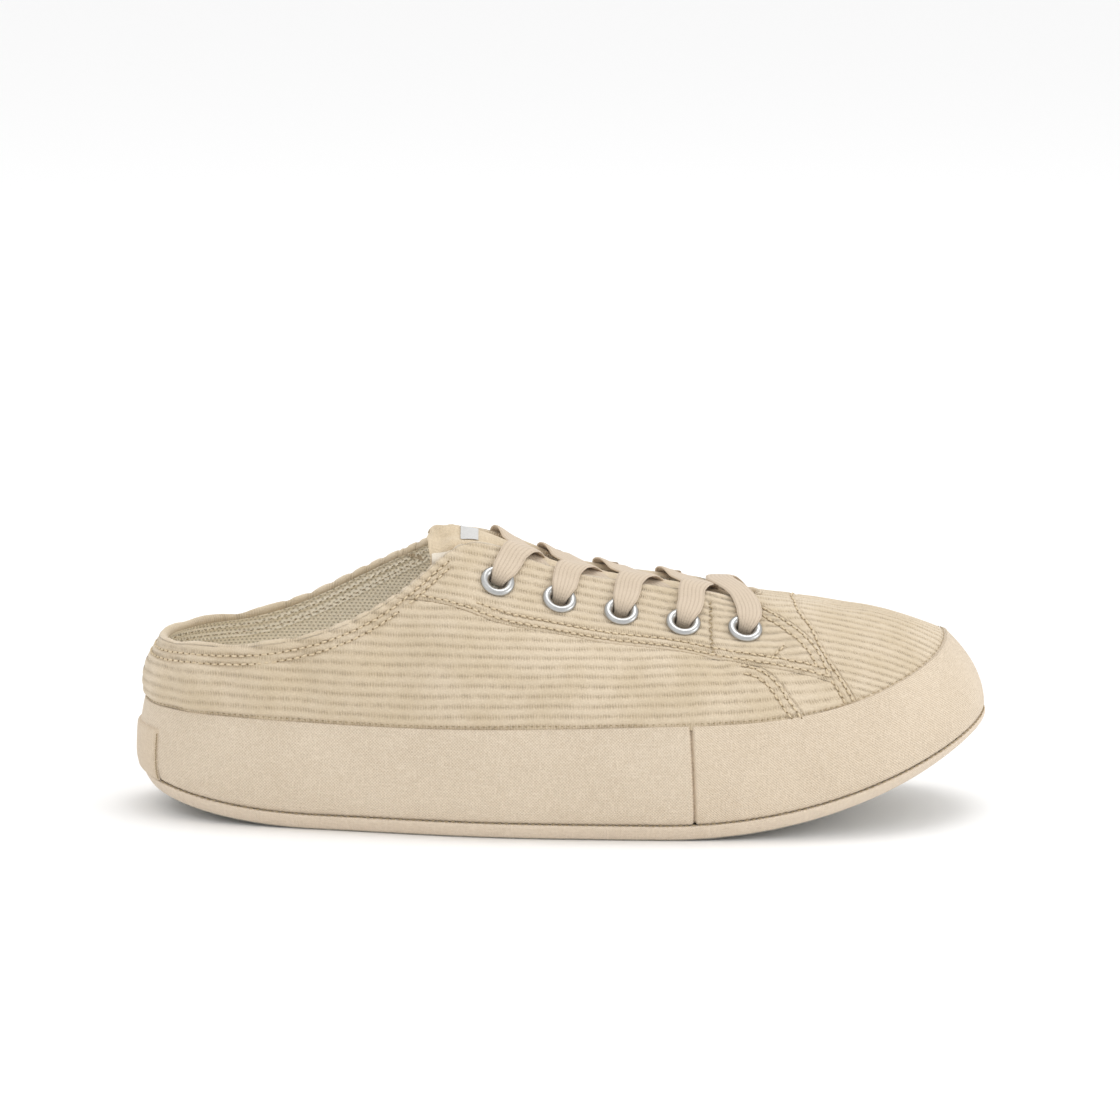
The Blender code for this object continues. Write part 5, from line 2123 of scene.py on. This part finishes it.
# How far the rim and middle of a needle hole's disc of painted shade stand out, so that it shows
# over the cloth.
HOLE_RIM_LIFT = 0.02 * MM
HOLE_LIFT = 0.20 * MM


def along_line(points, normals, pitch):
    """Places at even distances on a line, each with its normal and the way ahead."""
    run = run_along(points)
    at = np.arange(pitch / 2, run[-1], pitch)
    normal = unit(read_off(at, run, normals))
    ahead = unit(read_off(at, run, unit(np.gradient(points, axis=0))))
    return read_off(at, run, points), normal, ahead


def spokes(first, second):
    """Directions round a circle, from the first direction by way of the second."""
    angles = [2 * math.pi * step / STITCH_SIDES for step in range(STITCH_SIDES)]
    return [first * math.cos(angle) + second * math.sin(angle) for angle in angles]


def add_stitches(name, lines, material, pitch=STITCH_PITCH, size=1.0):
    """Beads of thread along lines of (points, normals)."""
    beads = []
    for points, normals in lines:
        place, normal, ahead = along_line(points, normals, pitch)
        side = np.cross(normal, ahead)
        count = np.arange(len(place))[:, None]
        place = place + side * STITCH_STRAY * size * np.sin(count * STITCH_STRAY_STEP)
        ahead = unit(ahead + side * STITCH_TURN * np.sin(count * STITCH_TURN_STEP))
        bead = []
        for share, thick, rise in STITCH_PROFILE:
            middle = place + ahead * share * STITCH_LENGTH * size / 2
            middle = middle + normal * rise * STITCH_RADIUS * size
            for spoke in spokes(side, normal):
                bead.append(middle + spoke * thick * STITCH_RADIUS * size)
        beads.append(np.stack(bead, 1))
    points = np.concatenate(beads)
    faces = []
    for stitch in range(len(points)):
        first = stitch * points.shape[1]
        last = first + points.shape[1] - STITCH_SIDES
        for low in range(first, last, STITCH_SIDES):
            high = low + STITCH_SIDES
            for step in range(STITCH_SIDES):
                after = (step + 1) % STITCH_SIDES
                faces.append((low + step, low + after, high + after, high + step))
        faces.append(tuple(range(first, first + STITCH_SIDES))[::-1])
        faces.append(tuple(range(last, last + STITCH_SIDES)))
    add_piece(name, points, faces, material)


def add_needle_hole_shade(name, lines, material):
    """Small dark discs of painted shade for the needle holes between the stitches."""
    discs = []
    for points, normals in lines:
        place, normal, ahead = along_line(points, normals, STITCH_PITCH)
        place = place + ahead * STITCH_PITCH / 2
        disc = [place + normal * HOLE_LIFT]
        for spoke in spokes(np.cross(normal, ahead), ahead):
            disc.append(place + spoke * HOLE_RADIUS + normal * HOLE_RIM_LIFT)
        discs.append(np.stack(disc, 1))
    points = np.concatenate(discs)
    faces = []
    for middle in range(0, len(points) * points.shape[1], points.shape[1]):
        for step in range(STITCH_SIDES):
            rim = middle + 1
            faces.append((middle, rim + step, rim + (step + 1) % STITCH_SIDES))
    add_piece(name, points, faces, material)


# %% Every seam on the upper
ZIGZAG_PITCH = 1.7 * MM
ZIGZAG_REACH = 0.75 * MM
ZIGZAG_PARTS = 8


def on_cloth(line, lift):
    """A seam line as points on the cloth and their normals, on both sides of the shoe."""
    sides = []
    for one in (line, mirrored(line)):
        normals = upper_normal(*one.T)
        sides.append((upper_point(*one.T) + normals * lift, normals))
    return sides


def zigzag(line):
    """A line that swings to both sides of another."""
    run = run_along(upper_point(*line.T))
    line = read_off(np.arange(0, run[-1], ZIGZAG_PITCH), run, line)
    left, right = beside(line, ZIGZAG_REACH), beside(line, -ZIGZAG_REACH)
    corners = np.where((np.arange(len(line)) % 2 == 0)[:, None], left, right)
    fine = np.linspace(0, len(corners) - 1, ZIGZAG_PARTS * (len(corners) - 1) + 1)
    return read_off(fine, np.arange(len(corners)), corners)


upper_seams = []
for name, (line, lift) in STITCH_ROWS.items():
    if name != "side_seam":
        upper_seams += on_cloth(line, lift)
swinging = on_cloth(zigzag(STITCH_ROWS["side_seam"][0]), STAY_LIFT)
ZIGZAG_STEP = math.hypot(ZIGZAG_PITCH, 2 * ZIGZAG_REACH)
add_stitches("side_seam_stitches", swinging, SEAM_THREAD, ZIGZAG_STEP, 0.85)
# Painted shade: a dark disc stands for the shade in each needle hole.
NEEDLE_HOLE_SHADE = make_plain("needle_hole_shade", (134, 114, 82), (118, 99, 70), 0.95)
add_stitches("upper_stitches", upper_seams, THREAD)
add_needle_hole_shade("upper_needle_holes", upper_seams, NEEDLE_HOLE_SHADE)

# %% The seam between wrap and tape
SOLE_SEAM_HEIGHT = OUTSOLE_THICKNESS + 0.35 * MM
SOLE_STITCH_PITCH = 2.1 * MM
SOLE_STITCH_DEPTH = 0.10 * MM
seam_turns = even_turns(0, 2, 1.0 * MM)
normals = wall_normal(seam_turns, SOLE_SEAM_HEIGHT)
points = wall_point(seam_turns, SOLE_SEAM_HEIGHT) - normals * SOLE_STITCH_DEPTH
seam = [(points, normals)]
add_stitches("sole_stitches", seam, SEAM_THREAD, SOLE_STITCH_PITCH, 0.75)

# %% Stitches inside the collar, and a dark thread line where corduroy meets the sole, partly painted shade
FEATHER_STITCH_PITCH = 1.9 * MM
FEATHER_STITCH_DEPTH = 0.30 * MM
FEATHER_SHARE = 0.004
inner_rows = []
for distance in COLLAR_ROWS:
    for points, normals in on_cloth(below_collar(distance), -LINING_DEPTH):
        inner_rows.append((points, -normals))
add_stitches("lining_stitches", inner_rows, SEAM_THREAD, STITCH_PITCH, 0.6)
# A seam line of darker thread round the feather line. It also paints the shade in the groove
# between corduroy and sole.
foot_turns = even_turns(0, 2, 0.8 * MM)
normals = upper_normal(foot_turns, np.full_like(foot_turns, FEATHER_SHARE))
points = upper_point(foot_turns, np.full_like(foot_turns, FEATHER_SHARE))
seam = [(points - normals * FEATHER_STITCH_DEPTH, normals)]
add_stitches("feather_stitches", seam, SEAM_THREAD, FEATHER_STITCH_PITCH, 0.5)

# %% The blank patch on the heel
PATCH_TURN = 0.101
PATCH_LOW = 9.0 * MM
PATCH_HIGH = 28.5 * MM
PATCH_THICKNESS = 1.1 * MM
PATCH_SEAT = 0.25 * MM
PATCH_COLUMNS = 60
PATCH_ROWS = 40
# The turn and the rows over which the patch's edges round down.
PATCH_SIDE_ROUND = 0.004
PATCH_ROUND_ROWS = 2.5
PATCH_STITCH_PITCH = 1.0 * MM
# How far the stitches are from the sides as a turn, and from the foot and the top.
PATCH_INSET = 0.0012
PATCH_FOOT_INSET = 1.4 * MM
PATCH_TOP_INSET = 1.2 * MM
SIDE_POINTS = 30
# The second colour is painted shade for the gaps between threads, and it is also used for the
# darker mottling.
PATCH = make_canvas("patch_cloth", (218, 201, 178), (184, 164, 138), 0.7, 0.0)


def make_patch():
    """A plain cloth patch at the back of the sole."""
    turns = np.linspace(-PATCH_TURN, PATCH_TURN, PATCH_COLUMNS)[:, None]
    low = np.maximum(PATCH_LOW - underside(turns), WRAP_FOOT + 0.6 * MM)
    high = PATCH_HIGH - underside(turns)
    heights = low + (high - low) * np.linspace(0, 1, PATCH_ROWS)[None, :]
    turns = np.broadcast_to(turns, heights.shape)
    out = wall_normal(turns, heights)
    row = np.arange(PATCH_ROWS)
    from_side = (PATCH_TURN - np.abs(turns)) / PATCH_SIDE_ROUND
    share = np.minimum(from_side, np.minimum(row, row[::-1]) / PATCH_ROUND_ROWS)
    lift = PATCH_SEAT + PATCH_THICKNESS * np.sqrt(np.clip(share, 0, 1))
    points = wall_point(turns, heights) + out * lift[..., None]
    add_cloth("heel_patch", points, pair(outline_run(turns), heights), PATCH)


def patch_seams():
    """The patch's upright edges, as lines on the wall with their normals."""
    inset = PATCH_TURN - PATCH_INSET
    lines = []
    for turn in (-inset, inset):
        low = max(PATCH_LOW - float(underside(turn)), WRAP_FOOT + PATCH_FOOT_INSET)
        high = PATCH_HIGH - float(underside(turn)) - PATCH_TOP_INSET
        heights = np.linspace(low, high, SIDE_POINTS)
        turns = np.full_like(heights, turn)
        out = wall_normal(turns, heights)
        lines.append((wall_point(turns, heights) + out * PATCH_THICKNESS * 0.7, out))
    return lines


make_patch()
add_stitches("patch_stitches", patch_seams(), SEAM_THREAD, PATCH_STITCH_PITCH, 0.6)

# %% [markdown]
# ## Floor, light and world
#
# The photograph has a plain white ground and light from all round, so that the shoe has hardly
# a shadow. A bright world does most of that; three large soft lights give the ribs and the
# metal a little direction. A pale floor catches the faint shadow under the sole.

# %% Floor, light and world
FLOOR_SIDE = 8.0
FLOOR_SHADE = 0.95
WORLD_STRENGTH = 0.99
LIGHT_AIM = (0, 0, 0.04)
# name, place, size and power in watts
LIGHTS = (
    ("key", (-0.7, -1.3, 1.3), (1.0, 0.8), 1.5),
    ("side", (1.5, -0.6, 0.7), (0.8, 0.6), 5),
    ("top", (0.3, 0.2, 1.7), (0.8, 0.8), 7),
)


def add_floor():
    """A wide pale floor that the shoe stands on."""
    mesh = bpy.data.meshes.new("floor")
    side = FLOOR_SIDE
    corners = [(x, y, 0) for x, y in ((-side, -side), (side, -side), (side, side), (-side, side))]
    mesh.from_pydata(corners, [], [(0, 1, 2, 3)])
    floor = bpy.data.objects.new("floor", mesh)
    material = bpy.data.materials.new("pale_floor")
    material.use_nodes = True
    shader = material.node_tree.nodes["Principled BSDF"]
    shader.inputs["Base Color"].default_value = (FLOOR_SHADE, FLOOR_SHADE, FLOOR_SHADE, 1)
    shader.inputs["Roughness"].default_value = 0.9
    mesh.materials.append(material)
    bpy.context.scene.collection.objects.link(floor)


def add_light(name, place, size, power):
    """A soft rectangle of light that faces the shoe."""
    data = bpy.data.lights.new(name, "AREA")
    data.shape = "RECTANGLE"
    data.size, data.size_y = size
    data.energy = power
    light = bpy.data.objects.new(name, data)
    toward = unit(np.array(place) - LIGHT_AIM)
    sideways = unit(np.cross(UPRIGHT, toward))
    stand = np.eye(4)
    stand[:3] = np.stack([sideways, np.cross(toward, sideways), toward, place], -1)
    light.matrix_world = Matrix(stand.tolist())
    bpy.context.scene.collection.objects.link(light)


add_floor()
for name, place, size, power in LIGHTS:
    add_light(name, place, size, power)
world = bpy.data.worlds.new("studio")
bpy.context.scene.world = world
world.use_nodes = True
world.node_tree.nodes["Background"].inputs["Color"].default_value = (1, 1, 1, 1)
world.node_tree.nodes["Background"].inputs["Strength"].default_value = WORLD_STRENGTH
bpy.context.scene.view_settings.view_transform = "Standard"
